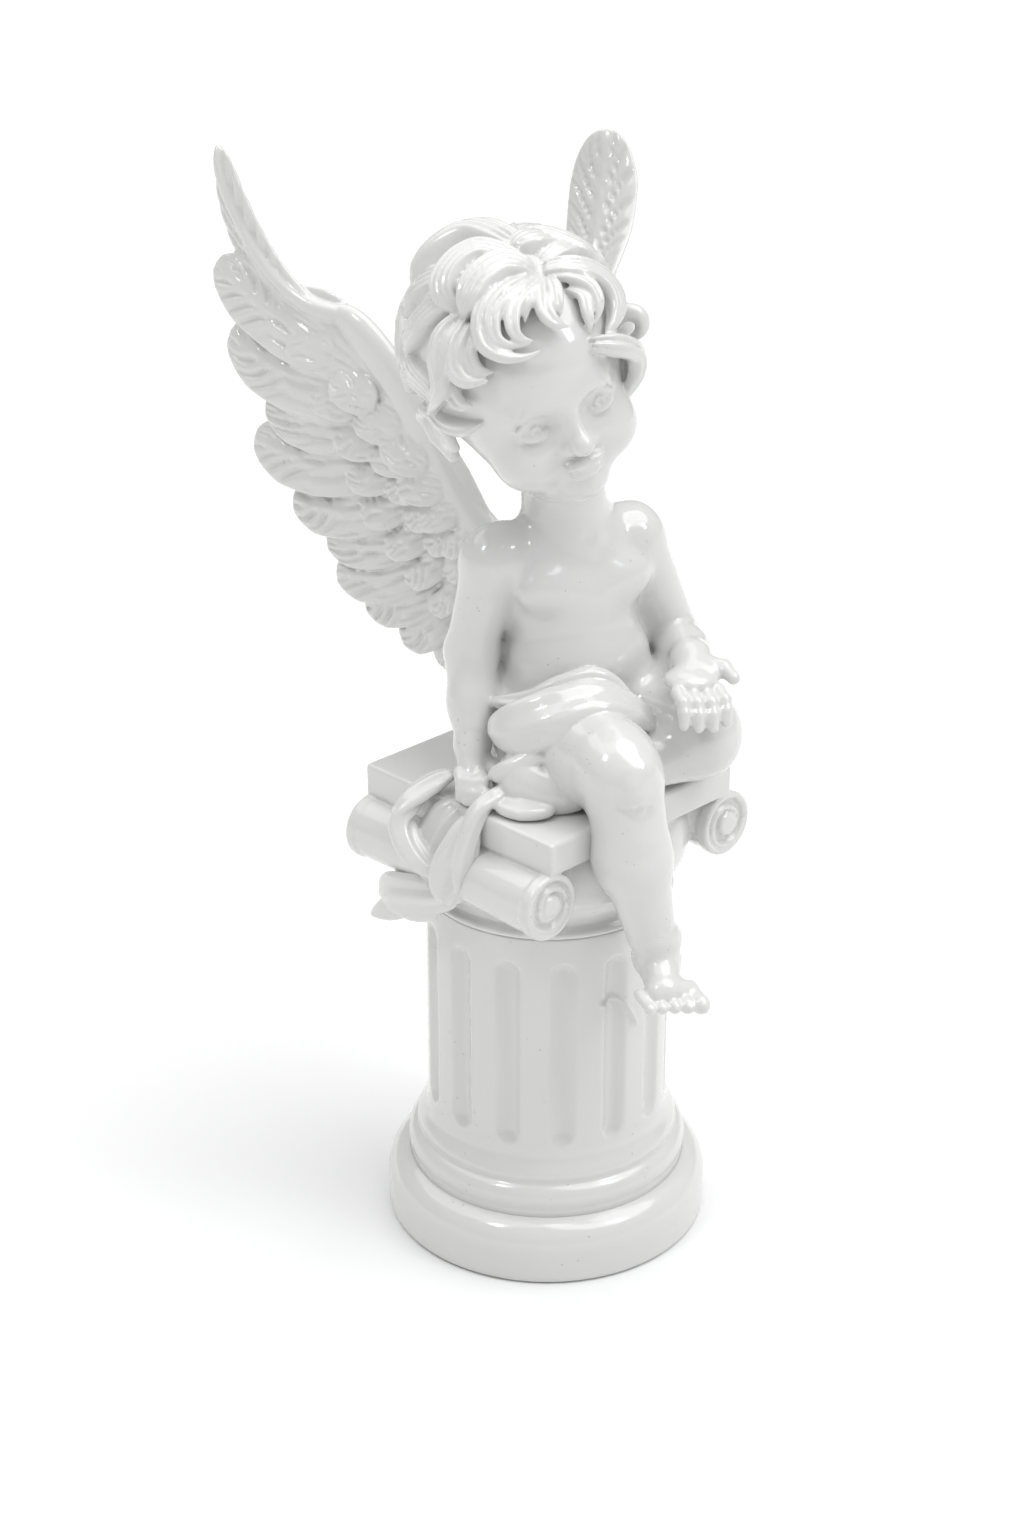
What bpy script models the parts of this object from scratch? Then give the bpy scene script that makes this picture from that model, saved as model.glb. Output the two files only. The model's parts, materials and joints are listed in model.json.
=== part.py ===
"""Seated winged child on a short fluted column, cast in white resin. Metres, +Z up.

The origin is the centre of the base's underside, and -Y is the side that a visitor faces.
The column is turned and fluted. The figure is a smooth union of anatomical volumes, with
locks of hair, feathers and folds swept along curves, fused, thinned to facets and joined
to the scrolled capital that it was cast with.
"""

import math

import bmesh
import bpy
import numpy as np
from mathutils import Matrix, Vector

COLLECTION = "Cherub figurine"

# Column plinth
BASE_RADIUS = 0.117
PLATE_HEIGHT = 0.047
TORUS_RADIUS = 0.102
TORUS_HEIGHT = 0.022
BEAD_RADIUS = 0.0955
BEAD_HEIGHT = 0.010
SHAFT_RADIUS = 0.0868
COLUMN_HEIGHT = 0.262
TURN_STEPS = 42
FOOT_ROUNDING = 0.0045
PLATE_ROUNDING = 0.013
FLARE_RISE = 1.5
TORUS_FULLNESS = 1.3

# Flutes
FLUTE_COUNT = 14
FLUTE_WIDTH = 0.019
FLUTE_DEPTH = 0.0055
FLUTE_FOOT_MARGIN = 0.017
FLUTE_HEAD_MARGIN = 0.019
FLUTE_TURN = math.radians(6.5)

# Capital
SEAM_GAP = 0.0003
CAPITAL_HEIGHT = 0.092
CAPITAL_TURN = math.radians(45)
OVERLAP = 0.002
SLAB_SIDE = 0.180
SLAB_THICKNESS = 0.024
SLAB_BEVEL = 0.0025
ROLL_RADIUS = 0.0235
ROLL_WAIST = 0.0205
EYE_RADIUS = 0.0085
EYE_RELIEF = 0.002
RIM_WIDTH = 0.006
RIM_DEPTH = 0.002
ROLL_STEPS = 16
ECHINUS_RADIUS = 0.099
ECHINUS_HEIGHT = 0.026
ECHINUS_BULGE = 0.012
NECK_RING_HEIGHT = 0.006
NECK_RING_INSET = 0.001
NECK_INSET = 0.003

# Derived heights
BEAD_TOP = PLATE_HEIGHT + TORUS_HEIGHT + BEAD_HEIGHT
SLAB_TOP = COLUMN_HEIGHT + CAPITAL_HEIGHT
SLAB_UNDERSIDE = SLAB_TOP - SLAB_THICKNESS

# Figure: the pose is drawn in equal steps of the seated height, from the seat's centre
SEATED_HEIGHT = 0.375
SEATED_STEPS = 375
STEP = SEATED_HEIGHT / SEATED_STEPS
FIGURE_TURN = math.radians(25)
BLANK_STEPS = 3.0
FUSE_STEPS = 2.2
FIGURE_TRIANGLES = 5370
HEAD_CENTRE = (-17, 1, 281)
HEAD_SCALE = 1.08
HEAD_YAW = math.radians(-4)
HEAD_ROLL = math.radians(-19)
HEAD_PITCH = math.radians(3)
HAIR_FULLNESS = 7

# Wings, in the wing's own plane: steps out from the root and steps above the seat
WING_PARTS = ("root", "heading", "twist", "rise", "primary")
WINGS = {
    "right": dict(zip(WING_PARTS, ((-14, 84), (-0.506, 0.863), 15, 1.0, 22))),
    "left": dict(zip(WING_PARTS, ((46, 84), (0.537, 0.843), 70, 0.97, 30))),
}
WING_ARM = ((-48, 120), (-22, 165), (12, 205), (52, 246), (92, 276), (112, 284), (130, 282))
WING_PRIMARY = (217, 384)
WING_TIPS = ((227, 300), (214, 236), (192, 166), (122, 80), (32, 30))
QUILL_COUNT = 10
COVERT_ROWS = ((0.70, 9), (0.47, 8), (0.26, 6))

MATRIX_HEAD = (
    Matrix.Translation(HEAD_CENTRE)
    @ Matrix.Rotation(HEAD_YAW, 4, "Z")
    @ Matrix.Rotation(HEAD_ROLL, 4, "Y")
    @ Matrix.Rotation(HEAD_PITCH, 4, "X")
    @ Matrix.Scale(HEAD_SCALE, 4)
)


def clear_scene():
    for thing in list(bpy.data.objects):
        bpy.data.objects.remove(thing)


def collection_named(name):
    made = bpy.data.collections.new(name)
    bpy.context.scene.collection.children.link(made)
    return made


def finish(name, colour, roughness):
    material = bpy.data.materials.new(name)
    material.use_nodes = True
    shader = material.node_tree.nodes["Principled BSDF"]
    shader.inputs["Base Color"].default_value = (*colour, 1)
    shader.inputs["Roughness"].default_value = roughness
    shader.inputs["Coat Weight"].default_value = 0.5
    return material


def object_of(name, mesh, where):
    made = bpy.data.objects.new(name, mesh)
    where.objects.link(made)
    return made


def mesh_of(name, bm):
    mesh = bpy.data.meshes.new(name)
    bm.to_mesh(mesh)
    bm.free()
    return mesh


def add_body(whole, bm):
    """Adds one small closed body to the whole and frees it."""
    mesh = mesh_of("body", bm)
    whole.from_mesh(mesh)
    bpy.data.meshes.remove(mesh)


def evaluated(name, mesh, *modifiers):
    """The mesh after these modifiers, each a type with its settings."""
    holder = object_of(name, mesh, bpy.context.scene.collection)
    for kind, settings in modifiers:
        modifier = holder.modifiers.new(kind.title(), kind)
        for key, value in settings.items():
            setattr(modifier, key, value)
    graph = bpy.context.evaluated_depsgraph_get()
    result = bpy.data.meshes.new_from_object(holder.evaluated_get(graph))
    bpy.data.objects.remove(holder)
    result.name = name
    return result


def fused(mesh, cell):
    return evaluated("fused", mesh, ("REMESH", {"mode": "VOXEL", "voxel_size": cell}))


# Turned and cut column


def arc(centre, radii, start, end, count):
    """Points on an ellipse's arc, angles in degrees from +X, as (radius, height)."""
    angles = np.radians(np.linspace(start, end, count))
    return [
        (centre[0] + radii[0] * math.cos(a), centre[1] + radii[1] * math.sin(a)) for a in angles
    ]


def turned(name, profile, where, steps=TURN_STEPS):
    """A closed turned solid: the profile runs from the axis, down its outer side, to the axis."""
    bm = bmesh.new()
    points = [bm.verts.new((r, 0, z)) for r, z in profile]
    for first, second in zip(points, points[1:]):
        bm.edges.new((first, second))
    made = object_of(name, mesh_of(name, bm), where)
    screw = made.modifiers.new("Turn", "SCREW")
    screw.steps = steps
    screw.render_steps = steps
    screw.use_merge_vertices = True
    screw.merge_threshold = 0.00005
    return made


def column_profile():
    torus_top = PLATE_HEIGHT + TORUS_HEIGHT
    flare = BEAD_RADIUS - SHAFT_RADIUS
    rise = flare * FLARE_RISE
    bead = BEAD_HEIGHT * 0.45
    bulge = (TORUS_RADIUS - BEAD_RADIUS) * TORUS_FULLNESS
    plate = PLATE_ROUNDING
    foot = FOOT_ROUNDING
    profile = [(0, COLUMN_HEIGHT), (SHAFT_RADIUS, COLUMN_HEIGHT)]
    profile += arc((SHAFT_RADIUS + flare, BEAD_TOP + rise), (flare, rise), 180, 245, 3)
    profile += arc((BEAD_RADIUS - bead, torus_top + BEAD_HEIGHT / 2), (bead, bead), 75, -75, 4)
    middle = (TORUS_RADIUS - bulge, PLATE_HEIGHT + TORUS_HEIGHT / 2)
    profile += arc(middle, (bulge, TORUS_HEIGHT / 2), 82, -82, 6)
    profile += arc((BASE_RADIUS - plate, PLATE_HEIGHT - plate), (plate, plate), 90, 0, 5)
    profile += arc((BASE_RADIUS - foot, foot), (foot, foot), 0, -90, 3)
    return profile + [(0, 0)]


def flute_cutter(where):
    """Every flute's cutter in one mesh: a rod with round ends, standing in the shaft's face."""
    across = FLUTE_WIDTH / 2
    reach = (across**2 + FLUTE_DEPTH**2) / (2 * FLUTE_DEPTH)
    bottom = BEAD_TOP + FLUTE_FOOT_MARGIN
    top = COLUMN_HEIGHT - FLUTE_HEAD_MARGIN
    bm = bmesh.new()
    for index in range(FLUTE_COUNT):
        made = bmesh.ops.create_uvsphere(bm, u_segments=12, v_segments=6, radius=1)
        turn = Matrix.Rotation(FLUTE_TURN + index * math.tau / FLUTE_COUNT, 4, "Z")
        for vert in made["verts"]:
            end = top - reach if vert.co.z > 0.01 else bottom + reach
            height = end + vert.co.z * reach
            out = SHAFT_RADIUS - FLUTE_DEPTH + reach
            vert.co = turn @ Vector((vert.co.x * reach, vert.co.y * reach - out, height))
    cutter = object_of("flute_cutter", mesh_of("flute_cutter", bm), where)
    cutter.hide_render = True
    cutter.display_type = "WIRE"
    return cutter


def column(parts, cutters):
    shaft = turned("column_plinth", column_profile(), parts)
    cut = shaft.modifiers.new("Flutes", "BOOLEAN")
    cut.operation = "DIFFERENCE"
    cut.object = flute_cutter(cutters)
    return shaft


# Scrolled capital


def roll_profile(half_length):
    """A waisted roll with a raised rim and an eye at each end."""
    end = [
        (0, half_length + EYE_RELIEF),
        (EYE_RADIUS, half_length + EYE_RELIEF),
        (EYE_RADIUS + EYE_RELIEF / 2, half_length - RIM_DEPTH),
        (ROLL_RADIUS - RIM_WIDTH, half_length - RIM_DEPTH),
        (ROLL_RADIUS - RIM_WIDTH, half_length),
        (ROLL_RADIUS, half_length),
        (ROLL_RADIUS, half_length * 0.9),
    ]
    middle = [(ROLL_WAIST, half_length * share) for share in (0.45, -0.45)]
    return end + middle + [(radius, -height) for radius, height in reversed(end)]


def capital_bodies(where):
    """The capital's own volumes about the column's axis, before they are joined."""
    spread = SLAB_SIDE / 2 - OVERLAP
    turn = Matrix.Rotation(CAPITAL_TURN, 4, "Z")
    bodies = []

    bm = bmesh.new()
    bmesh.ops.create_cube(bm, size=1)
    size = (SLAB_SIDE, SLAB_SIDE, SLAB_THICKNESS, 1)
    bmesh.ops.transform(bm, matrix=Matrix.Diagonal(size), verts=bm.verts)
    edges = bm.edges[:]
    bmesh.ops.bevel(
        bm, geom=edges, offset=SLAB_BEVEL, segments=1, affect="EDGES", profile=0.5, material=-1
    )
    raised = Matrix.Translation((0, 0, SLAB_TOP - SLAB_THICKNESS / 2))
    bmesh.ops.transform(bm, matrix=turn @ raised, verts=bm.verts)
    bodies.append(object_of("slab", mesh_of("slab", bm), where))

    lie = turn @ Matrix.Translation((0, 0, SLAB_UNDERSIDE + OVERLAP / 2 - ROLL_RADIUS))
    for side, name in ((-1, "roll_left"), (1, "roll_right")):
        roll = turned(name, roll_profile(spread), where, ROLL_STEPS)
        roll.matrix_world = (
            lie @ Matrix.Translation((side * spread, 0, 0)) @ Matrix.Rotation(math.pi / 2, 4, "X")
        )
        bodies.append(roll)

    bottom = COLUMN_HEIGHT + SEAM_GAP
    ring_top = bottom + NECK_RING_HEIGHT
    echinus_top = SLAB_UNDERSIDE + OVERLAP
    middle = (ECHINUS_RADIUS - ECHINUS_BULGE, SLAB_UNDERSIDE + 2 * OVERLAP - ECHINUS_HEIGHT)
    ring = NECK_RING_HEIGHT / 2
    neck = SHAFT_RADIUS - NECK_INSET
    profile = [(0, echinus_top)]
    profile += arc(middle, (ECHINUS_BULGE, ECHINUS_HEIGHT - OVERLAP), 85, -60, 5)
    profile += [(neck, ring_top + ring)]
    profile += arc((SHAFT_RADIUS - NECK_RING_INSET, bottom + ring), (ring, ring), 75, -75, 3)
    profile += [(neck, bottom), (0, bottom)]
    bodies.append(turned("echinus", profile, where))
    return bodies


# Anatomical volumes and their smooth union


class Volume:
    """A tapered limb or a ball that can be meshed and measured."""

    def __init__(self, ends, radii, blend, frame=None):
        self.ends = [np.array(end, float) for end in ends]
        self.radii = np.array(radii, float)
        self.blend = blend
        self.turn = np.eye(3)
        if frame is not None:
            scale = frame.to_scale()[0]
            self.ends = [np.array(frame @ Vector(end)) for end in ends]
            self.radii = self.radii * scale
            self.blend = blend * scale
            self.turn = np.array(frame.to_3x3()) / scale
        self.middle = sum(self.ends) / len(self.ends)
        span = np.linalg.norm(self.ends[0] - self.ends[-1]) / 2
        self.reach = span + self.radii.max()

    def add_blank(self, whole):
        """Adds a closed mesh of the volume: a ball, or one pulled apart along the limb."""
        bm = bmesh.new()
        verts = bmesh.ops.create_icosphere(bm, subdivisions=3, radius=1)["verts"]
        if len(self.ends) == 1:
            place = Matrix(self.turn).to_4x4() @ Matrix.Diagonal((*self.radii, 1))
            bmesh.ops.transform(bm, matrix=Matrix.Translation(self.ends[0]) @ place, verts=verts)
        else:
            way = Vector(self.ends[1] - self.ends[0])
            for vert in verts:
                end = int(vert.co.dot(way) > 0)
                vert.co = Vector(self.ends[end]) + vert.co * self.radii[end]
        add_body(whole, bm)

    def distance(self, points):
        if len(self.ends) == 1:
            local = (points - self.ends[0]) @ self.turn
            near = np.linalg.norm(local / self.radii, axis=1)
            slope = np.linalg.norm(local / self.radii**2, axis=1)
            return near * (near - 1) / np.maximum(slope, 1e-9)
        start, end = self.ends
        axis = end - start
        length = np.linalg.norm(axis)
        axis = axis / length
        offset = points - start
        along = offset @ axis
        across = np.linalg.norm(offset - along[:, None] * axis, axis=1)
        taper = (self.radii[0] - self.radii[1]) / length
        lean = math.sqrt(max(1e-9, 1 - taper**2))
        share = np.clip((along + across * taper / lean) / length, 0, 1)
        radius = self.radii[0] + share * (self.radii[1] - self.radii[0])
        nearest = start + (share * length)[:, None] * axis
        return np.linalg.norm(points - nearest, axis=1) - radius


def limb(start, start_radius, end, end_radius, blend=7.0, frame=None):
    return Volume([start, end], [start_radius, end_radius], blend, frame)


def ball(centre, radii, blend=7.0, frame=None):
    return Volume([centre], radii, blend, frame)


def chain(points, radii, blend=4.0, frame=None):
    pairs = zip(points, points[1:], radii, radii[1:])
    return [limb(a, ra, b, rb, blend, frame) for a, b, ra, rb in pairs]


def union_distance(points, solids, hollows):
    """Signed distance to the solids' smooth union, less the hollows."""
    total = np.full(len(points), 1000.0)
    for volume in solids:
        near = np.linalg.norm(points - volume.middle, axis=1) < volume.reach + volume.blend + 12
        own = volume.distance(points[near])
        mix = np.clip(0.5 + 0.5 * (total[near] - own) / volume.blend, 0, 1)
        total[near] += mix * (own - total[near]) - volume.blend * mix * (1 - mix)
    for volume in hollows:
        near = np.linalg.norm(points - volume.middle, axis=1) < volume.reach + volume.blend + 6
        own = -volume.distance(points[near])
        mix = np.clip(0.5 - 0.5 * (total[near] - own) / volume.blend, 0, 1)
        total[near] += mix * (own - total[near]) + volume.blend * mix * (1 - mix)
    return total


def settle(mesh, solids, hollows, rounds=4, probe=0.2):
    """Moves a mesh's points onto the smooth union."""
    points = np.empty(len(mesh.vertices) * 3)
    mesh.vertices.foreach_get("co", points)
    points = points.reshape(-1, 3)
    for _ in range(rounds):
        here = union_distance(points, solids, hollows)
        slope = np.empty_like(points)
        for axis in range(3):
            moved = points.copy()
            moved[:, axis] += probe
            slope[:, axis] = (union_distance(moved, solids, hollows) - here) / probe
        steep = np.maximum((slope**2).sum(1), 0.15)
        step = np.clip(here, -3, 3) / steep
        points -= step[:, None] * slope
    mesh.vertices.foreach_set("co", points.ravel())


def torso():
    return [
        ball((15, 10, 36), (52, 40, 36), 14),
        ball((20, -7, 78), (50, 36, 38), 14),
        limb((15, 10, 60), 44, (18, 9, 118), 44, 14),
        ball((17, 5, 130), (50, 35, 36), 14),
        limb((-28, 5, 160), 19, (62, 5, 160), 19, 18),
        ball((-7, -18, 138), (25, 14, 17), 9),
        ball((41, -18, 138), (25, 14, 17), 9),
        limb((17, 8, 170), 30, (13, 5, 196), 24, 18),
        limb((15, 4, 172), 26, (4, 2, 220), 25, 12),
    ]


def torso_hollows():
    return [
        ball((17, -42, 78), (2.5, 6, 3.5), 4),
        limb((17, -40, 150), 1.5, (17, -42, 112), 1.5, 7),
        limb((17, 44, 150), 2, (15, 52, 70), 2, 9),
    ]


def fingers(knuckles, tips, radius, bend):
    """Four fingers between two lines, each of two joints, lifted in the middle by bend."""
    made = []
    starts = np.linspace(knuckles[0], knuckles[1], 4)
    ends = np.linspace(tips[0], tips[1], 4)
    for start, end in zip(starts, ends):
        middle = (start + end) / 2 + np.array(bend)
        made += chain([start, middle, end], [radius, radius * 0.95, radius * 0.8], 2)
    return made


def arms():
    right = [
        ball((-40, 4, 156), (22, 22, 23), 9),
        limb((-41, 5, 152), 20, (-52, 14, 90), 17, 9),
        limb((-52, 14, 88), 17.5, (-58, -1, 56), 16.5, 8),
        limb((-58, -1, 56), 16, (-64, -13, 32), 11.5, 8),
        limb((-65, -14, 31), 11, (-70, -27, 16), 9.5, 6),
    ]
    knuckles = ((-79, -27, 14), (-64, -34, 14))
    right += fingers(knuckles, ((-82, -37, 4), (-70, -46, 3)), 4.6, (0, -3, 2))
    right += chain([(-60, -22, 22), (-56, -33, 15), (-57, -40, 9)], [5.5, 5, 4.2], 3)
    left = [
        ball((62, 4, 154), (20, 22, 23), 9),
        limb((66, 4, 152), 20, (94, -1, 78), 18.5, 9),
        limb((97, -1, 76), 17.5, (90, -26, 79), 16, 8),
        limb((90, -26, 79), 16, (81, -51, 84), 11.5, 8),
        limb((81, -52, 84), 10.5, (76, -70, 76), 9, 6),
        limb((70, -70, 77), 7, (83, -72, 76), 7, 6),
    ]
    knuckles = ((64, -75, 74), (85, -79, 73))
    left += fingers(knuckles, ((58, -96, 58), (77, -101, 56)), 4.7, (0, -3, 3))
    left += chain([(86, -62, 82), (92, -74, 85), (92, -82, 88)], [6, 5.2, 4.3], 3)
    return right + left


def toes():
    made = []
    for share in np.linspace(0, 1, 5):
        size = 4.3 + 2.4 * share**2
        middle = (2 + 30 * share, -158 - 4 * share, -111 - 3 * share)
        made.append(ball(middle, (size * 0.95, size * 1.25, size), 2.5))
    return made


def legs():
    right = [
        limb((-12, 4, 38), 37, (4, -88, 39), 29, 12),
        ball((8, -104, 36), (27, 25, 26), 10),
        limb((10, -106, 26), 24.5, (17, -113, -22), 25, 9),
        limb((17, -113, -22), 24, (25, -120, -78), 16.5, 9),
        ball((26, -120, -82), (17, 17, 12), 5),
        ball((25, -116, -98), (15.5, 17, 15), 5),
        limb((24, -126, -100), 14, (17, -150, -109), 9.5, 7),
        limb((9, -148, -109), 8, (27, -150, -110), 8.5, 6),
    ]
    left = [
        limb((44, 6, 38), 36, (80, -58, 38), 30, 12),
        ball((82, -70, 34), (26, 25, 26), 10),
        limb((80, -68, 26), 22, (30, -66, 20), 18, 9),
        limb((30, -66, 20), 15, (0, -50, 14), 13, 8),
    ]
    return right + left + toes()


def leg_hollows():
    crease = [(8, -122, -70), (24, -138, -71), (43, -122, -68)]
    return chain(crease, [1.2, 1.4, 1.2], 3) + [limb((-2, -132, 46), 1.5, (14, -132, 50), 1.5, 5)]


def head():
    f = MATRIX_HEAD
    made = [
        ball((0, 8, 12), (59, 66, 59), 12, f),
        ball((0, 15, 17), (61, 66, 61), 10, f),
        ball((0, -20, 14), (46, 38, 38), 12, f),
        ball((0, -18, -22), (46, 42, 44), 14, f),
        ball((0, -44, -56), (15, 14, 13), 12, f),
        ball((0, -22, -58), (25, 24, 14), 12, f),
        limb((0, -57, -4), 4.5, (0, -65, -22), 6, 7, f),
        ball((0, -67, -25), (7.2, 7, 6.2), 4, f),
        ball((0, -59.5, -44.5), (9.5, 5.5, 4), 4, f),
        ball((0, -52, 2), (30, 8, 7), 9, f),
    ]
    for side in (-1, 1):
        made += [
            ball((side * 24, -37, -33), (21, 20, 20), 10, f),
            ball((side * 6.5, -59.5, -27), (4.6, 5.2, 4.2), 4, f),
            ball((side * 5, -60.5, -38), (8, 5, 3.2), 4, f),
            ball((side * 59, 6, -12), (5, 13, 17), 4, f),
        ]
        made += chain(
            [
                (side * 58, -6, -22),
                (side * 62, -5, -4),
                (side * 65, 6, 4),
                (side * 66, 16, -4),
                (side * 63, 14, -20),
                (side * 59, 2, -30),
            ],
            [3, 3.4, 3.4, 3.4, 3.6, 4.2],
            2.5,
            f,
        )
    return made


def head_hollows():
    f = MATRIX_HEAD
    made = [limb((-7, -67, -41.2), 0.9, (7, -67, -41.2), 0.9, 2, f)]
    for side in (-1, 1):
        made += [
            ball((side * 21, -62, -9), (12, 8.5, 7.5), 9, f),
            ball((side * 66, 3, -12), (5, 6, 9), 3, f),
            limb((side * 7, -67, -41.2), 0.9, (side * 13, -60, -40.5), 1.3, 2, f),
        ]
    return made


def eyes():
    """Eyeballs and lids, set into the hollows."""
    f = MATRIX_HEAD
    made = []
    for side in (-1, 1):
        centre = np.array((side * 21, -45, -9.5))
        made.append(ball(tuple(centre), (11.2, 11.2, 11.2), 1.5, f))
        for lid, lift, thick in (("upper", 27, 2.1), ("lower", -20, 1.8)):
            arch = []
            for turn in np.radians(np.linspace(-52, 52, 6)):
                rise = math.radians(lift) * math.cos(turn * 1.45) + math.radians(3)
                level = math.cos(rise)
                way = (math.sin(turn) * level, -math.cos(turn) * level, math.sin(rise))
                arch.append(tuple(centre + 11.6 * np.array(way)))
            made += chain(arch, [thick] * 6, 2, f)
    return made


# Shapes swept along curves


def smooth_path(points, count):
    """Catmull-Rom curve through points, sampled evenly in its parameter."""
    points = np.array(points, float)
    padded = np.vstack([2 * points[0] - points[1], points, 2 * points[-1] - points[-2]])
    places = np.linspace(0, len(points) - 1, count)
    index = np.minimum(places.astype(int), len(points) - 2)
    t = (places - index)[:, None]
    a, b, c, d = (padded[index + k] for k in range(4))
    square = (2 * a - 5 * b + 4 * c - d) * t**2
    cube = (3 * b - a - 3 * c + d) * t**3
    return 0.5 * (2 * b + (c - a) * t + square + cube)


def unit(vectors):
    return vectors / np.maximum(np.linalg.norm(vectors, axis=-1, keepdims=True), 1e-9)


def sweep(whole, path, widths, depths, side, rings=10, around=8, blunt=4):
    """Adds a closed blade along path: half widths along side, half depths across it."""
    bm = bmesh.new()
    verts = bmesh.ops.create_uvsphere(bm, u_segments=around, v_segments=rings, radius=1)["verts"]
    start = np.array([vert.co for vert in verts])
    places = np.arccos(np.clip(start[:, 2], -1, 1)) / math.pi
    ring = np.rint(places * rings).astype(int)
    line = smooth_path(path, rings + 1)
    forward = unit(np.gradient(line, axis=0))
    sides = smooth_path(side, rings + 1) if np.ndim(side) == 2 else np.tile(side, (rings + 1, 1))
    sides = unit(sides - (sides * forward).sum(1, keepdims=True) * forward)
    ups = np.cross(sides, forward)
    shares = np.linspace(0, 1, rings + 1)
    swell = np.maximum(1 - np.abs(2 * shares - 1) ** blunt, 0) ** (1 / 2.2)
    wide = np.interp(shares, np.linspace(0, 1, len(widths)), widths) * swell
    deep = np.interp(shares, np.linspace(0, 1, len(depths)), depths) * swell
    flat = np.hypot(start[:, 0], start[:, 1])
    flat = np.where(flat < 1e-4, 1, flat)
    across = (start[:, 0] / flat)[:, None] * wide[ring][:, None]
    above = (start[:, 1] / flat)[:, None] * deep[ring][:, None]
    moved = line[ring] + sides[ring] * across + ups[ring] * above
    for vert, place in zip(verts, moved):
        vert.co = place
    add_body(whole, bm)


def scalp(turn, fall, lift):
    """A point over the skull: turn from the brow, fall from the crown, in degrees."""
    turn, fall = math.radians(turn), math.radians(fall)
    lean = Matrix.Rotation(math.radians(-10), 4, "X")
    level = math.sin(fall)
    way = lean @ Vector((level * math.sin(turn), -level * math.cos(turn), math.cos(fall)))
    shell = Vector((way.x * (61 + lift), way.y * (69 + lift) + 8, way.z * (62 + lift) + 12))
    return MATRIX_HEAD @ shell


def lock(bm, turn, fall, length, wave, width, curl=4):
    """One lock of hair: it swings by wave degrees and its tip lifts by curl."""
    fullness = HAIR_FULLNESS * max(0, math.sin(math.radians(-turn)))
    path, sides = [], []
    for share in np.linspace(0, 1, 6):
        swing = turn + wave * math.sin(share * 5.2 + turn * 0.05)
        lift = fullness - 2 + 6 * math.sin(share * 2.6) + curl * share**3
        path.append(scalp(swing, fall + length * share, lift))
        sides.append(scalp(swing + 8, fall + length * share, lift) - path[-1])
    sides = np.array([tuple(s) for s in sides])
    full = width * HEAD_SCALE
    sweep(
        bm,
        [tuple(p) for p in path],
        [full * 0.55, full, full, full * 0.75, full * 0.3],
        [full * 0.5, full * 0.62, full * 0.6, full * 0.5, full * 0.3],
        unit(sides),
        rings=8,
        around=8,
    )


def hair(bm):
    """Rings of wavy locks from the crown to the nape, open over the face."""
    rings = ((5, 32, 7, 9, 11.5), (24, 36, 11, 12, 12), (50, 36, 14, 12, 12), (78, 34, 15, 10, 11))
    for index, (fall, length, count, wave, width) in enumerate(rings):
        for place in range(count):
            turn = (place + 0.5 * (index % 2)) * 360 / count
            front = abs((turn + 180) % 360 - 180)
            reach = length
            if front < 50:
                reach = min(length, 66 - fall)
            elif front < 72:
                reach = min(length, 96 - fall)
            if reach < 14:
                continue
            lock(bm, turn, fall, reach, wave * (1 if place % 2 else -1), width)
    for turn, fall, length, wave, curl in (
        (-30, 34, 48, 16, 9),
        (-10, 32, 44, -14, 9),
        (10, 34, 38, 14, 8),
        (30, 36, 36, -14, 8),
        (52, 40, 40, 12, 8),
        (-50, 36, 58, 12, 8),
        (-68, 50, 62, 12, 9),
        (-86, 58, 64, -10, 8),
        (76, 56, 44, -12, 8),
        (94, 60, 56, 10, 7),
    ):
        lock(bm, turn, fall, length, wave, 9, curl)
    for turn, fall in ((72, 68), (84, 92), (66, 44)):
        ringlet(bm, turn, fall, 9, 6)


def ringlet(bm, turn, fall, radius, thick):
    """A round curl lying on the side of the head."""
    centre = scalp(turn, fall, 3)
    beside = (scalp(turn + 5, fall, 3) - centre).normalized()
    below = (scalp(turn, fall + 5, 3) - centre).normalized()
    path = []
    for angle in np.radians(np.linspace(-60, 250, 8)):
        way = beside * math.cos(angle) + below * math.sin(angle)
        path.append(tuple(centre + way * radius * HEAD_SCALE))
    outward = tuple(beside.cross(below) * -1)
    full = thick * HEAD_SCALE
    sweep(bm, path, [full, full, full * 0.7], [full, full, full * 0.7], outward, rings=12)


def wing_place(wing, out, up, lift=0.0):
    """A point in a wing's plane, lifted towards the front of the work."""
    heading = np.array((*wing["heading"], 0.0))
    normal = np.array((heading[1], -heading[0], 0.0))
    normal *= -1 if normal[1] > 0 else 1
    cup = 0.0011 * max(out, 0) ** 1.9 * 0.35
    root = np.array((*wing["root"], 0.0))
    return root + heading * out + normal * (lift + cup) + np.array((0, 0, up * wing["rise"]))


def quill(bm, wing, base, tip, width, depth, lift, tilt=0.0, bow=6.0, rings=10):
    """A feather from base to tip in the wing's plane, tilted about its length."""
    base, tip = np.array(base, float), np.array(tip, float)
    along = tip - base
    across = np.array((-along[1], along[0])) / np.linalg.norm(along)
    middle = (base + tip) / 2 - across * bow
    path = [
        wing_place(wing, *base, lift),
        wing_place(wing, *middle, lift + 2),
        wing_place(wing, *tip, lift),
    ]
    heading = np.array((*wing["heading"], 0.0))
    normal = np.array((heading[1], -heading[0], 0.0))
    normal *= -1 if normal[1] > 0 else 1
    flat = heading * across[0] + np.array((0, 0, across[1]))
    leans = np.radians([tilt * 0.3, tilt * 0.7, tilt])[:, None]
    sweep(
        bm,
        path,
        [width * 0.75, width, width * 1.05, width],
        [depth, depth, depth * 0.8],
        flat * np.cos(leans) + normal * np.sin(leans),
        rings=rings,
        around=8,
        blunt=5,
    )


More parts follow.
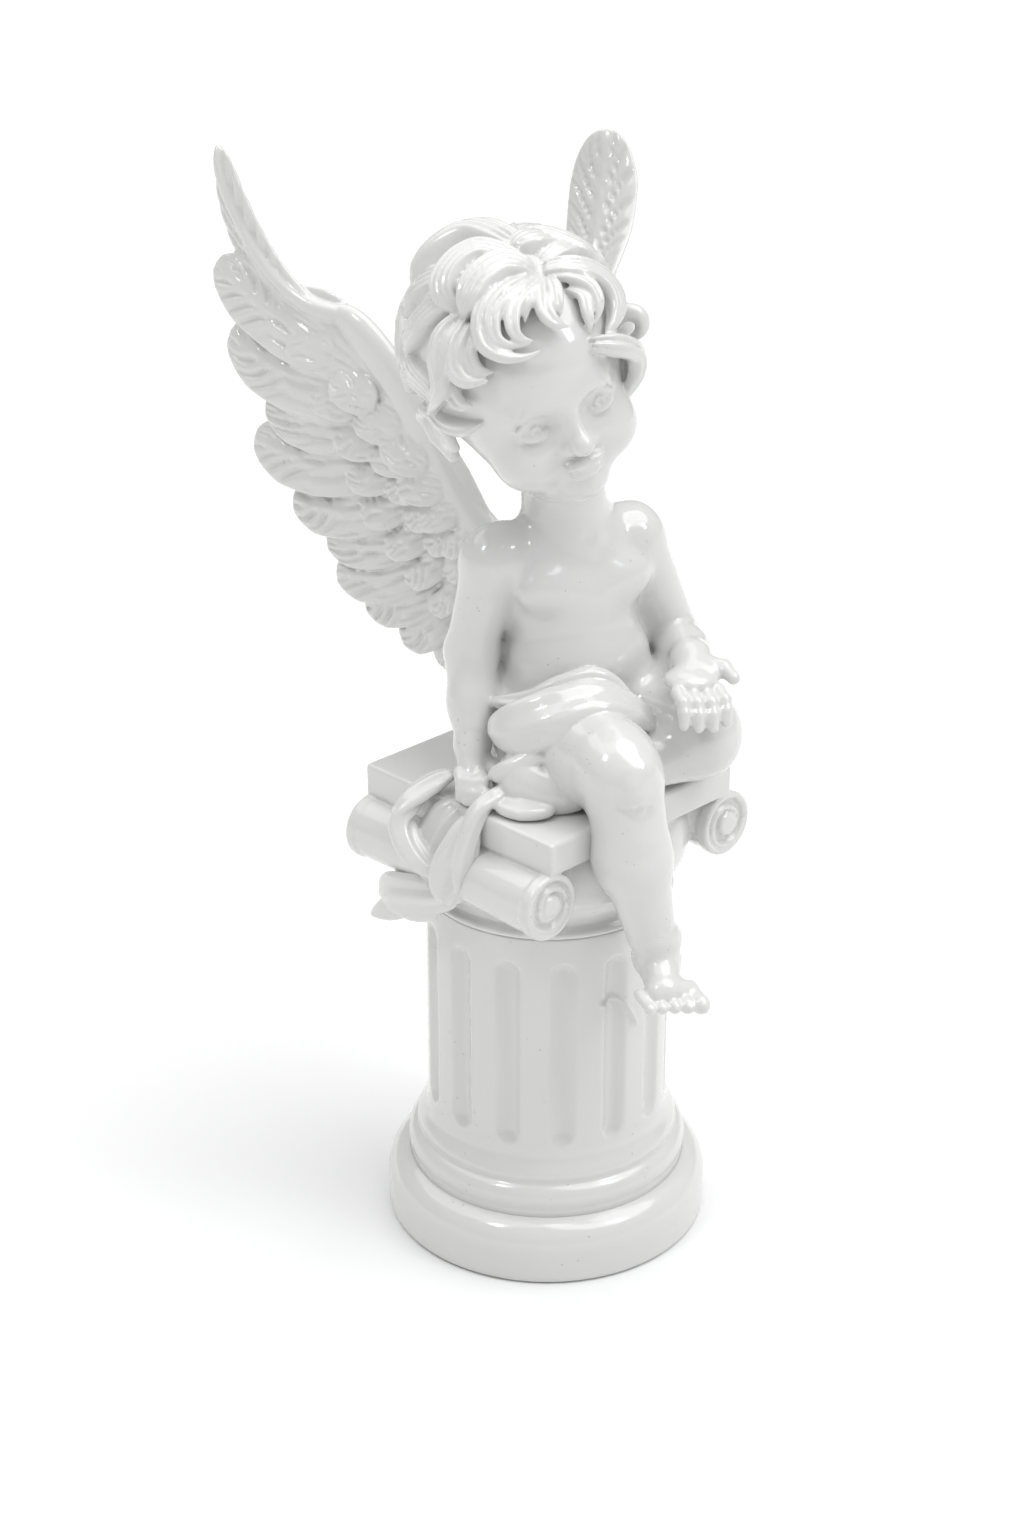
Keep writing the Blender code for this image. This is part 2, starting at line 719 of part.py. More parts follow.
def wing_shape(bm, wing):
    arm = smooth_path([(*p, 0) for p in WING_ARM], 40)[:, :2]
    tips = smooth_path([(*p, 0) for p in WING_TIPS], QUILL_COUNT)[:, :2]
    roots = arm[np.linspace(37, 9, QUILL_COUNT).astype(int)]
    sweep(
        bm,
        [wing_place(wing, *p, 2) for p in WING_ARM],
        [20, 19, 16, 15, 15, 14, 9],
        [13, 12, 9, 8, 8.5, 8, 5],
        (0, 0, 1),
        rings=14,
        around=10,
    )
    quill(bm, wing, arm[37], WING_PRIMARY, wing["primary"], 4.6, 1, wing["twist"], bow=16)
    for index, (root, tip) in enumerate(zip(roots, tips)):
        width = 21 - 3 * index / (QUILL_COUNT - 1)
        quill(bm, wing, root, tip, width, 4.2, 1.2 * (index % 2), 12, bow=14 - 2.6 * index)
    for row, (share, count) in enumerate(COVERT_ROWS):
        for index in range(count):
            place = (index + 0.5 * (row % 2) + 0.6) / (count + 0.6)
            root = arm[int(36 - 27 * place)]
            edge = smooth_path([(*p, 0) for p in WING_TIPS], 50)[int(4 + 42 * place), :2]
            tip = root + (edge - root) * share
            base = root + (edge - root) * (share - 0.34)
            quill(bm, wing, base, tip, 15, 3.4, 4.5 + 1.8 * row, 10, bow=2, rings=7)
            if row < 2:
                quill(bm, wing, base, tip, 16, 3.4, -4.0 - 1.5 * row, -10, bow=2, rings=7)


def drapery(bm):
    """The cloth over the lap, its fold under the hand and the tail over the slab's edge."""
    sweep(bm, [(-52, 6, 54), (-49, -26, 60), (-20, -50, 70), (18, -58, 60), (46, -56, 44)],
          [15, 19, 17, 12, 7], [8, 9, 9, 8, 5], (0, -0.35, 1), rings=14, around=10)
    sweep(bm, [(-46, 18, 66), (-36, -26, 80), (-6, -44, 88), (24, -46, 80), (44, -40, 58)],
          [7, 9, 9, 8, 6], [6, 7, 7, 6, 4], (0, -0.4, 1), rings=12)
    sweep(bm, [(-56, -4, 40), (-50, -34, 40), (-34, -62, 44), (4, -76, 58), (34, -74, 46)],
          [5, 7, 7, 6, 4], [5, 6, 6, 5, 3], (0, -0.4, 1), rings=12)
    sweep(bm, [(-54, -20, 30), (-48, -44, 28), (-30, -60, 24)], [8, 9, 5], [7, 8, 5], (0, 0.2, 1))
    sweep(bm, [(-44, -46, 18), (-62, -50, 8), (-82, -54, -2), (-92, -56, -22)],
          [7, 7, 8, 6], [5, 5, 6, 5], (0.3, 0.9, 0.5), rings=12)
    sweep(bm, [(-80, -14, 12), (-98, -8, 0), (-108, -6, -22), (-106, -24, -42), (-98, -44, -46)],
          [10, 10, 10, 11, 9], [6, 6, 6, 7, 6], (0.5, 0.85, 0.2), rings=12)
    sweep(bm, [(-72, -34, 10), (-92, -42, -4), (-100, -40, -34), (-104, -34, -56)],
          [12, 20, 24, 14], [7, 8, 8, 6], (-0.35, 0.85, 0.3), rings=12, around=10)
    sweep(bm, [(-92, -52, -34), (-106, -26, -58), (-116, 4, -82), (-121, 30, -106)],
          [17, 20, 15, 5], [8, 8, 7, 4], (0.2, -0.3, 1), rings=12, around=10)
    sweep(bm, [(-98, -40, -66), (-110, -8, -92), (-117, 16, -112)],
          [12, 11, 4], [6, 6, 4], (0.2, -0.3, 1), rings=10)


def figure_mesh():
    """The figure in its own steps, as one fused mesh."""
    solids = torso() + arms() + legs() + head()
    blank = bmesh.new()
    for volume in solids:
        volume.add_blank(blank)
    body = fused(mesh_of("blank", blank), BLANK_STEPS)
    hollows = torso_hollows() + leg_hollows()
    settle(body, solids, hollows + head_hollows())
    bm = bmesh.new()
    bm.from_mesh(body)
    for volume in eyes():
        volume.add_blank(bm)
    hair(bm)
    drapery(bm)
    for wing in WINGS.values():
        wing_shape(bm, wing)
    whole = fused(mesh_of("whole", bm), FUSE_STEPS)
    count = sum(len(face.vertices) - 2 for face in whole.polygons)
    thin = {"ratio": FIGURE_TRIANGLES / count, "use_collapse_triangulate": True}
    return evaluated(
        "figure", whole, ("SMOOTH", {"factor": 0.5, "iterations": 2}), ("DECIMATE", thin)
    )


def unite(carrier, body):
    """Joins a body to its carrier and keeps it as a helper."""
    body.hide_render = True
    body.display_type = "WIRE"
    join = carrier.modifiers.new(body.name, "BOOLEAN")
    join.operation = "UNION"
    join.use_self = True
    join.object = body


def cherub(parts, cutters):
    """The figure on its capital, one casting."""
    mesh = figure_mesh()
    place = Matrix.Translation((0, 0, SLAB_TOP)) @ Matrix.Rotation(FIGURE_TURN, 4, "Z")
    mesh.transform(place @ Matrix.Scale(STEP, 4))
    figure = object_of("cherub_figure", mesh, parts)
    slab, *rest = capital_bodies(cutters)
    for body in rest:
        unite(slab, body)
    unite(figure, slab)
    return figure


def main():
    clear_scene()
    parts = collection_named(COLLECTION)
    cutters = collection_named("Cutters and joined shapes")
    white = (0.88, 0.88, 0.86)
    column(parts, cutters).data.materials.append(finish("column_lacquer", white, 0.2))
    cherub(parts, cutters).data.materials.append(finish("figure_lacquer", white, 0.18))


main()
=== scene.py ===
"""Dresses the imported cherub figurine: fine column, capital, child and wings in white lacquer.

Written as a Blender add-on and run as a script. Metres, +Z up, the same frame as the CAD.
The figure is drawn in steps of a millimetre from the middle of the seat: x to the child's
left, y to its back, z above the slab.
"""

import json
import math

import bmesh
import bpy
import numpy as np
from bpy.props import FloatProperty, FloatVectorProperty, IntProperty, PointerProperty
from mathutils import Matrix, Vector

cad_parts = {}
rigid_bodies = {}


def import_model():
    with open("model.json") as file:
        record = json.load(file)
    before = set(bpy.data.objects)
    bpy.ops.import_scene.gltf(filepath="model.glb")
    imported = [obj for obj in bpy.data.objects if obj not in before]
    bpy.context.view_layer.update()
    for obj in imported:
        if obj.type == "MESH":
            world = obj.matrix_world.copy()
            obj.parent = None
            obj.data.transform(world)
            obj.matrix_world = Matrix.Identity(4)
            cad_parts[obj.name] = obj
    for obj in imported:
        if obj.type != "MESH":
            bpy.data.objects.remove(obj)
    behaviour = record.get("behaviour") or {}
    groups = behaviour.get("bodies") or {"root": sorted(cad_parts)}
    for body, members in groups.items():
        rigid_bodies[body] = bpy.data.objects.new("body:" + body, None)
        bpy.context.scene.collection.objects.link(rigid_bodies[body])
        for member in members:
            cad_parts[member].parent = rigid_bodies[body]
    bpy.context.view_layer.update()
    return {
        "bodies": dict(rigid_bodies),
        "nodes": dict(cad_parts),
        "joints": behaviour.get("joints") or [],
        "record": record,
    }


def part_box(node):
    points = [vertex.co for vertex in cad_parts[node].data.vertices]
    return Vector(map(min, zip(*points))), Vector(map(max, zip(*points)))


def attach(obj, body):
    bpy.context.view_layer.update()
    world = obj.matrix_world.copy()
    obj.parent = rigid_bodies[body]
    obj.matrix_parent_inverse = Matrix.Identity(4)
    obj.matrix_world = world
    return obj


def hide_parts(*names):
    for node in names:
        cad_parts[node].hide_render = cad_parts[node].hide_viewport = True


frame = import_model()

bl_info = {
    "name": "Cherub figurine",
    "version": (1, 0, 0),
    "blender": (4, 5, 0),
    "location": "3D Viewport > Sidebar > Cherub",
    "description": "Models a seated lacquered cherub on a fluted column",
    "category": "Add Mesh",
}

COLUMN_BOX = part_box("column_plinth")
BASE_RADIUS = (COLUMN_BOX[1][0] - COLUMN_BOX[0][0]) / 2
COLUMN_HEIGHT = COLUMN_BOX[1][2]
STEP = 0.001
PHOTO_SIZE = (1024, 1536)
CAPITAL_TRIANGLES = 120000
CHILD_TRIANGLES = 196000
WING_TRIANGLES = 194000


def length(name, text, metres):
    return FloatProperty(name=name, description=text, default=metres, unit="LENGTH")


def turned(name, text, degrees):
    return FloatProperty(name=name, description=text, default=math.radians(degrees), unit="ROTATION")


def tinted(name, text, colour):
    settings = {"subtype": "COLOR", "size": 3, "min": 0, "max": 1}
    return FloatVectorProperty(name=name, description=text, default=colour, **settings)


class ColumnSizes(bpy.types.PropertyGroup):
    """Sizes of the turned and fluted column."""

    plate_height: length("Plate height", "Height of the lowest disc", 0.047)
    torus_radius: length("Torus radius", "Radius of the rounded ring", 0.102)
    torus_height: length("Torus height", "Height of the rounded ring", 0.022)
    bead_radius: length("Bead radius", "Radius of the bead above", 0.0955)
    bead_height: length("Bead height", "Height of the bead", 0.010)
    shaft_radius: length("Shaft radius", "Radius of the drum", 0.0868)
    flute_count: IntProperty(name="Flutes", description="Flutes round the drum", default=14, min=3)
    flute_width: length("Flute width", "Width of a flute", 0.019)
    flute_depth: length("Flute depth", "Depth of a flute", 0.0055)
    flute_turn: turned("Flute turn", "Turn of the first flute", 6.5)


class CapitalSizes(bpy.types.PropertyGroup):
    """Sizes of the scrolled capital."""

    height: length("Height", "Height of the capital", 0.092)
    turn: turned("Turn", "Turn about the column", 45)
    slab_side: length("Slab side", "Side of the square slab", 0.180)
    slab_thickness: length("Slab thickness", "Thickness of the slab", 0.024)
    roll_radius: length("Roll radius", "Radius of a scroll", 0.0235)
    roll_waist: length("Roll waist", "Radius of a scroll's middle", 0.0205)
    echinus_radius: length("Echinus radius", "Radius under the slab", 0.099)


class FigureSizes(bpy.types.PropertyGroup):
    """Size and place of the child and its wings."""

    turn: turned("Turn", "Turn of the child on the slab", 25)
    head_scale: FloatProperty(name="Head scale", description="Size of the head", default=1.08)
    mesh_step: length("Mesh step", "Width of the finest carving", 0.00095)


class Finish(bpy.types.PropertyGroup):
    """The white lacquer and the studio."""

    white: tinted("White", "Colour of the lacquer", (0.70, 0.70, 0.69))
    # Painted shade: a darker, warmer white laid into the sunk pits of the lacquer, where shade falls.
    painted_pit_shade: tinted("Painted pit shade", "Colour in the deepest cuts", (0.60, 0.595, 0.575))
    floor: tinted("Floor", "Colour of the floor", (0.87, 0.87, 0.87))


def sizes():
    return bpy.context.scene.cherub_column


def capital_sizes():
    return bpy.context.scene.cherub_capital


def figure_sizes():
    return bpy.context.scene.cherub_figure


def finishes():
    return bpy.context.scene.cherub_finish


# Meshes


def mesh_of(name, bm):
    mesh = bpy.data.meshes.new(name)
    bm.to_mesh(mesh)
    bm.free()
    return mesh


def add_body(whole, bm):
    """Adds one small closed body to the whole and frees it."""
    mesh = mesh_of("body", bm)
    whole.from_mesh(mesh)
    bpy.data.meshes.remove(mesh)


def points_of(mesh):
    points = np.empty(len(mesh.vertices) * 3)
    mesh.vertices.foreach_get("co", points)
    return points.reshape(-1, 3)


def set_points(mesh, points):
    mesh.vertices.foreach_set("co", points.astype(np.float32).ravel())
    mesh.update()


def evaluated(name, mesh, *modifiers):
    """The mesh after these modifiers, each a type with its settings. The first mesh is freed."""
    holder = bpy.data.objects.new(name, mesh)
    bpy.context.scene.collection.objects.link(holder)
    for kind, settings in modifiers:
        modifier = holder.modifiers.new(kind.title(), kind)
        for key, value in settings.items():
            setattr(modifier, key, value)
    graph = bpy.context.evaluated_depsgraph_get()
    result = bpy.data.meshes.new_from_object(holder.evaluated_get(graph))
    bpy.data.objects.remove(holder)
    bpy.data.meshes.remove(mesh)
    result.name = name
    return result


def fused(mesh, cell):
    return evaluated("fused", mesh, ("REMESH", {"mode": "VOXEL", "voxel_size": cell}))


def softened(name, mesh, rounds, triangles):
    """Smooths a fused mesh and thins it to about this many triangles."""
    count = sum(len(face.vertices) - 2 for face in mesh.polygons)
    smooth = {"factor": 0.5, "iterations": rounds}
    thin = {"ratio": min(1, triangles / count), "use_collapse_triangulate": True}
    return evaluated(name, mesh, ("SMOOTH", smooth), ("DECIMATE", thin))


def piece_of(name, mesh, node, material):
    """Shows a finished mesh in place of a node of the frame."""
    mesh.name = name
    mesh.shade_smooth()
    mesh.materials.clear()
    mesh.materials.append(material)
    piece = placed(name, mesh, Matrix())
    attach(piece, "root")
    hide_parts(node)


def figure_piece(name, mesh):
    """Shows a finished mesh as part of the casting above the column."""
    piece_of(name, mesh, "cherub_figure", lacquer("Figure lacquer", 0.08, 0.0004))


# Turned column


def arc(centre, radii, start, end, count):
    """Points on an ellipse's arc, angles in degrees from +X, as (radius, height)."""
    angles = np.radians(np.linspace(start, end, count))
    return [(centre[0] + radii[0] * math.cos(a), centre[1] + radii[1] * math.sin(a)) for a in angles]


def spun(profile, steps):
    """A closed turned mesh: the profile runs from the axis, down its outer side, to the axis."""
    bm = bmesh.new()
    points = [bm.verts.new((r, 0, z)) for r, z in profile]
    edges = [bm.edges.new(pair) for pair in zip(points, points[1:])]
    whole_turn = {"cent": (0, 0, 0), "axis": (0, 0, 1), "angle": math.tau, "use_merge": True}
    bmesh.ops.spin(bm, geom=points + edges, steps=steps, **whole_turn)
    bmesh.ops.remove_doubles(bm, verts=bm.verts, dist=1e-6)
    bmesh.ops.recalc_face_normals(bm, faces=bm.faces)
    return bm


def softened_profile(profile, width, lowest, highest):
    """Rounds the creases of a profile between two heights, as thick lacquer does."""
    places = np.array(profile)
    steps = np.linalg.norm(np.diff(places, axis=0), axis=1)
    along = np.concatenate([[0], np.cumsum(steps)])
    weight = np.convolve(np.pad(steps, 1, mode="edge"), [0.5, 0.5], "valid")
    near = np.exp(-(((along[:, None] - along[None]) / width) ** 2) / 2) * weight
    soft = near @ places / near.sum(1, keepdims=True)
    chosen = (places[:, 1] > lowest) & (places[:, 1] < highest)
    places[chosen] = soft[chosen]
    return [tuple(place) for place in places]


def column_profile():
    s = sizes()
    torus_top = s.plate_height + s.torus_height
    bead_top = torus_top + s.bead_height
    flare = s.bead_radius - s.shaft_radius
    rise = flare * 1.5
    bead = s.bead_height * 0.45
    bulge = (s.torus_radius - s.bead_radius) * 1.3
    plate, foot, lip = 0.02, 0.0045, 0.0012
    coat = 0.0036
    profile = [(0, COLUMN_HEIGHT), (s.shaft_radius * 0.5, COLUMN_HEIGHT)]
    profile += arc((s.shaft_radius - lip, COLUMN_HEIGHT - lip), (lip, lip), 90, 0, 4)
    for height in np.linspace(COLUMN_HEIGHT - 2 * lip, bead_top + rise * 1.05, 130):
        profile.append((s.shaft_radius, height))
    profile += arc((s.shaft_radius + flare, bead_top + rise), (flare, rise), 180, 250, 9)
    profile += arc((s.bead_radius - bead, torus_top + s.bead_height / 2), (bead, bead), 80, -80, 12)
    middle = (s.torus_radius - bulge, s.plate_height + s.torus_height / 2)
    profile += arc(middle, (bulge, s.torus_height / 2), 84, -45, 16)
    for reach in np.linspace(s.torus_radius + 0.001, BASE_RADIUS - plate, 7)[:-1]:
        profile.append((reach, s.plate_height + (BASE_RADIUS - plate - reach) * 0.25))
    profile += arc((BASE_RADIUS - plate, s.plate_height - plate), (plate, plate), 90, 0, 12)
    for height in np.linspace(s.plate_height - plate, foot, 9)[1:-1]:
        profile.append((BASE_RADIUS, height))
    profile += arc((BASE_RADIUS - foot, foot), (foot, foot), 0, -90, 7)
    soft = softened_profile(profile, coat, s.plate_height * 0.5, COLUMN_HEIGHT * 0.85)
    return soft + [(BASE_RADIUS * 0.5, 0), (0, 0)]


def flute_fall(turn, height):
    """How deep the flutes are cut at an angle and height, with soft edges and round ends."""
    s = sizes()
    half = s.flute_width / 2
    pitch = math.tau / s.flute_count
    band_below, band_above, edge = 0.017, 0.019, 0.012
    bottom = s.plate_height + s.torus_height + s.bead_height + band_below + half
    top = COLUMN_HEIGHT - band_above - half
    across = ((turn - s.flute_turn + pitch / 2) % pitch - pitch / 2) * s.shaft_radius
    beyond = np.maximum(0, np.maximum(height - top, bottom - height))
    share = np.hypot(across, beyond) / half
    open_ = 1 - share**2
    return s.flute_depth * (open_ + np.sqrt(open_**2 + edge)) / 2 * (share < 1.4)


LIP_PATH = (
    (0.443, 0.2068), (0.506, 0.2093), (0.575, 0.2075), (0.623, 0.2037), (0.710, 0.1937), (0.757, 0.1840),
)
LIP_HEIGHT = 0.0034
LIP_WIDTH = 0.0016


def lip_rise(turn, height):
    """A curled lip of spilt resin across one flute, laid along LIP_PATH's turns and heights."""
    arch = np.array(LIP_PATH) * (sizes().shaft_radius, 1)
    places = np.stack([turn * sizes().shaft_radius, height], 1)
    nearest = np.full(len(places), 1.0)
    for start, end in zip(arch, arch[1:]):
        along = end - start
        share = np.clip(((places - start) @ along) / (along @ along), 0, 1)
        nearest = np.minimum(nearest, np.linalg.norm(places - start - share[:, None] * along, axis=1))
    return LIP_HEIGHT * bell(nearest, LIP_WIDTH)


def column_mesh():
    bm = spun(column_profile(), 400)
    mesh = mesh_of("column", bm)
    points = points_of(mesh)
    radius = np.hypot(points[:, 0], points[:, 1])
    turn = np.arctan2(points[:, 0], -points[:, 1])
    on_drum = np.abs(radius - sizes().shaft_radius) < 0.0002
    fall = np.where(on_drum, flute_fall(turn, points[:, 2]) - lip_rise(turn, points[:, 2]), 0)
    scale = 1 - fall / np.maximum(radius, 0.01)
    points[:, :2] *= scale[:, None]
    set_points(mesh, points)
    return mesh


# Scrolled capital


def add_block(whole, size, place, edge, segments):
    """Adds a box with rounded edges."""
    bm = bmesh.new()
    bmesh.ops.create_cube(bm, size=1)
    bmesh.ops.transform(bm, matrix=Matrix.Diagonal((*size, 1)), verts=bm.verts)
    rounding = {"affect": "EDGES", "profile": 0.5, "material": -1}
    bmesh.ops.bevel(bm, geom=bm.edges[:], offset=edge, segments=segments, **rounding)
    bmesh.ops.transform(bm, matrix=place, verts=bm.verts)
    add_body(whole, bm)


def roll_profile(half_length):
    c = capital_sizes()
    eye, rim, sunk, dome, swell = 0.0085, 0.005, 0.002, 0.0025, 0.001
    end = [(0, half_length + dome)]
    end += arc((eye - dome, half_length), (dome, dome), 90, 0, 6)
    end += [(eye, half_length - sunk), (c.roll_radius - rim, half_length - sunk)]
    end += arc((c.roll_radius - rim / 2, half_length - rim / 4), (rim / 2, rim / 2), 180, 0, 9)
    end += [(c.roll_radius, half_length * 0.93)]
    middle = []
    for share in np.linspace(0.9, -0.9, 21):
        bulge = (1 - math.cos(share * math.pi)) / 2
        radius = c.roll_waist + (c.roll_radius - swell - c.roll_waist) * bulge
        middle.append((radius, half_length * share))
    return end + middle + [(radius, -height) for radius, height in reversed(end)]


def spiral_path(centre, radius, turns, hand):
    """A spiral that shrinks towards its middle, in the plane of a scroll's end."""
    path = []
    for share in np.linspace(0, 1, 24):
        angle = math.pi / 2 - hand * share * turns * math.tau
        reach = radius * (1 - 0.62 * share)
        path.append(np.array(centre) + np.array((math.cos(angle), 0, math.sin(angle))) * reach)
    return path


def capital_mesh():
    c = capital_sizes()
    top = COLUMN_HEIGHT + c.height
    under = top - c.slab_thickness
    spread = c.slab_side / 2 - 0.002
    cord = 0.0021
    turn = Matrix.Rotation(c.turn, 4, "Z")
    whole = bmesh.new()
    middle = turn @ Matrix.Translation((0, 0, top - c.slab_thickness / 2))
    add_block(whole, (c.slab_side, c.slab_side, c.slab_thickness), middle, 0.003, 3)

    for side in (-1, 1):
        bm = spun(roll_profile(spread), 72)
        lie = Matrix.Translation((side * spread, 0, under + 0.001 - c.roll_radius))
        bmesh.ops.transform(bm, matrix=turn @ lie @ Matrix.Rotation(math.pi / 2, 4, "X"), verts=bm.verts)
        add_body(whole, bm)
        for end in (-1, 1):
            centre = (side * spread, end * (spread - 0.001), under + 0.001 - c.roll_radius)
            path = spiral_path(centre, c.roll_radius - 0.003, 1.6, side)
            path = [turn @ Vector(point) for point in path]
            sweep(whole, path, [cord], [cord], (0, 0, 1), rings=48, around=10, blunt=8)

    for end in (-1, 1):
        place = turn @ Matrix.Translation((0, end * (spread - 0.035), under - c.roll_radius * 0.5))
        add_block(whole, (2 * spread, 0.05, c.roll_radius * 1.15), place, 0.002, 2)

    bottom = COLUMN_HEIGHT + 0.0003
    shaft = sizes().shaft_radius
    profile = [(0, under + 0.002), (c.echinus_radius - 0.02, under + 0.002)]
    profile += arc((c.echinus_radius - 0.012, under - 0.022), (0.012, 0.024), 85, -60, 16)
    profile += [(shaft - 0.003, bottom + 0.009)]
    profile += arc((shaft - 0.001, bottom + 0.003), (0.003, 0.003), 80, -80, 9)
    profile += [(shaft - 0.003, bottom), (0, bottom)]
    add_body(whole, spun(profile, 160))
    coarse = fused(mesh_of("capital", whole), figure_sizes().mesh_step)
    return softened("capital", coarse, 2, CAPITAL_TRIANGLES)


# Anatomical volumes and their smooth union


class Volume:
    """A tapered limb or a ball that can be meshed and measured."""

    def __init__(self, ends, radii, blend, frame=None):
        self.ends = [np.array(end, float) for end in ends]
        self.radii = np.array(radii, float)
        self.blend = blend
        self.turn = np.eye(3)
        if frame is not None:
            scale = frame.to_scale()[0]
            self.ends = [np.array(frame @ Vector(end)) for end in ends]
            self.radii = self.radii * scale
            self.blend = blend * scale
            self.turn = np.array(frame.to_3x3()) / scale
        self.middle = sum(self.ends) / len(self.ends)
        span = np.linalg.norm(self.ends[0] - self.ends[-1]) / 2
        self.reach = span + self.radii.max()

    def add_blank(self, whole):
        """Adds a closed mesh of the volume: a ball, or one pulled apart along the limb."""
        bm = bmesh.new()
        verts = bmesh.ops.create_icosphere(bm, subdivisions=4, radius=1)["verts"]
        if len(self.ends) == 1:
            place = Matrix(self.turn).to_4x4() @ Matrix.Diagonal((*self.radii, 1))
            bmesh.ops.transform(bm, matrix=Matrix.Translation(self.ends[0]) @ place, verts=verts)
        else:
            way = Vector(self.ends[1] - self.ends[0])
            for vert in verts:
                end = int(vert.co.dot(way) > 0)
                vert.co = Vector(self.ends[end]) + vert.co * self.radii[end]
        add_body(whole, bm)

    def distance(self, points):
        if len(self.ends) == 1:
            local = (points - self.ends[0]) @ self.turn
            near = np.linalg.norm(local / self.radii, axis=1)
            slope = np.linalg.norm(local / self.radii**2, axis=1)
            return near * (near - 1) / np.maximum(slope, 1e-9)
        start, end = self.ends
        axis = end - start
        length = np.linalg.norm(axis)
        axis = axis / length
        offset = points - start
        along = offset @ axis
        across = np.linalg.norm(offset - along[:, None] * axis, axis=1)
        taper = (self.radii[0] - self.radii[1]) / length
        lean = math.sqrt(max(1e-9, 1 - taper**2))
        share = np.clip((along + across * taper / lean) / length, 0, 1)
        radius = self.radii[0] + share * (self.radii[1] - self.radii[0])
        nearest = start + (share * length)[:, None] * axis
        return np.linalg.norm(points - nearest, axis=1) - radius


def limb(start, start_radius, end, end_radius, blend, frame=None):
    return Volume([start, end], [start_radius, end_radius], blend, frame)


def ball(centre, radii, blend, frame=None):
    return Volume([centre], radii, blend, frame)


def chain(points, radii, blend, frame=None):
    pairs = zip(points, points[1:], radii, radii[1:])
    return [limb(a, ra, b, rb, blend, frame) for a, b, ra, rb in pairs]


def union_distance(points, solids, hollows):
    """Signed distance to the solids' smooth union, less the hollows."""
    total = np.full(len(points), 1000.0)
    for volume, sign, margin in [(v, 1, 12) for v in solids] + [(v, -1, 6) for v in hollows]:
        near = np.linalg.norm(points - volume.middle, axis=1) < volume.reach + volume.blend + margin
        own = sign * volume.distance(points[near])
        mix = np.clip(0.5 + sign * 0.5 * (total[near] - own) / volume.blend, 0, 1)
        total[near] += mix * (own - total[near]) - sign * volume.blend * mix * (1 - mix)
    return total


def settle(mesh, solids, hollows, rounds=3, probe=0.2):
    """Moves a mesh's points onto the smooth union."""
    points = points_of(mesh)
    for _ in range(rounds):
        here = union_distance(points, solids, hollows)
        slope = np.empty_like(points)
        for axis in range(3):
            moved = points.copy()
            moved[:, axis] += probe
            slope[:, axis] = (union_distance(moved, solids, hollows) - here) / probe
        steep = np.maximum((slope**2).sum(1), 0.15)
        points -= (np.clip(here, -3, 3) / steep)[:, None] * slope
    set_points(mesh, points)


# Shapes swept along curves


def smooth_path(points, count):
    """Catmull-Rom curve through points, sampled evenly in its parameter."""
    points = np.array(points, float)
    padded = np.vstack([2 * points[0] - points[1], points, 2 * points[-1] - points[-2]])
    places = np.linspace(0, len(points) - 1, count)
    index = np.minimum(places.astype(int), len(points) - 2)
    t = (places - index)[:, None]
    a, b, c, d = (padded[index + k] for k in range(4))
    square = (2 * a - 5 * b + 4 * c - d) * t**2
    cube = (3 * b - a - 3 * c + d) * t**3
    return 0.5 * (2 * b + (c - a) * t + square + cube)


def unit(vectors):
    return vectors / np.maximum(np.linalg.norm(vectors, axis=-1, keepdims=True), 1e-9)


BLANKS = {}


def blank_of(rings, around):
    """A unit ball's mesh, with each point's ring and its angle round the axis."""
    if (rings, around) not in BLANKS:
        bm = bmesh.new()
        bmesh.ops.create_uvsphere(bm, u_segments=around, v_segments=rings, radius=1)
        mesh = mesh_of("blank", bm)
        start = points_of(mesh)
        places = np.arccos(np.clip(start[:, 2], -1, 1)) / math.pi
        angles = np.arctan2(start[:, 1], start[:, 0])
        BLANKS[rings, around] = (mesh, np.rint(places * rings).astype(int), angles)
    return BLANKS[rings, around]


def bell(offset, width):
    return np.exp(-((offset / width) ** 2))


def spread_over(values, shares):
    return np.interp(shares, np.linspace(0, 1, len(values)), values)


def sweep(whole, path, widths, depths, side, rings, around, blunt=4, carve=None):
    """Adds a closed blade along path: half widths along side, half depths across it.

    carve(share, across, face) gives the height added to the two faces, in the path's unit,
    where share runs from base to tip, across from -1 to 1, and face is 1 or -1.
    """
    mesh, ring, angles = blank_of(rings, around)
    line = smooth_path(path, rings + 1)
    forward = unit(np.gradient(line, axis=0))
    sides = smooth_path(side, rings + 1) if np.ndim(side) == 2 else np.tile(side, (rings + 1, 1))
    sides = unit(sides - (sides * forward).sum(1, keepdims=True) * forward)
    ups = np.cross(sides, forward)
    shares = np.linspace(0, 1, rings + 1)
    swell = np.maximum(1 - np.abs(2 * shares - 1) ** blunt, 0) ** (1 / 2.2)
    wide = spread_over(widths, shares) * swell
    deep = spread_over(depths, shares) * swell
    across = np.cos(angles)
    above = np.sin(angles)
    height = above * deep[ring]
    if carve is not None:
        height += carve(shares[ring], across, np.sign(above)) * np.abs(above) * swell[ring]
    moved = line[ring] + sides[ring] * (across * wide[ring])[:, None] + ups[ring] * height[:, None]
    body = mesh.copy()
    set_points(body, moved)
    whole.from_mesh(body)
    bpy.data.meshes.remove(body)


# The child's body


def torso():
    return [
        ball((15, 10, 36), (52, 40, 36), 14),
        ball((20, -7, 78), (50, 36, 38), 14),
        limb((15, 10, 60), 44, (18, 9, 118), 44, 14),
        ball((17, 5, 130), (50, 35, 36), 14),
        limb((-28, 5, 160), 19, (62, 5, 160), 19, 18),
        ball((-7, -18, 138), (25, 14, 17), 9),
        ball((41, -18, 138), (25, 14, 17), 9),
        limb((17, 8, 170), 30, (13, 5, 196), 24, 18),
        limb((15, 4, 172), 26, (4, 2, 220), 25, 12),
    ]


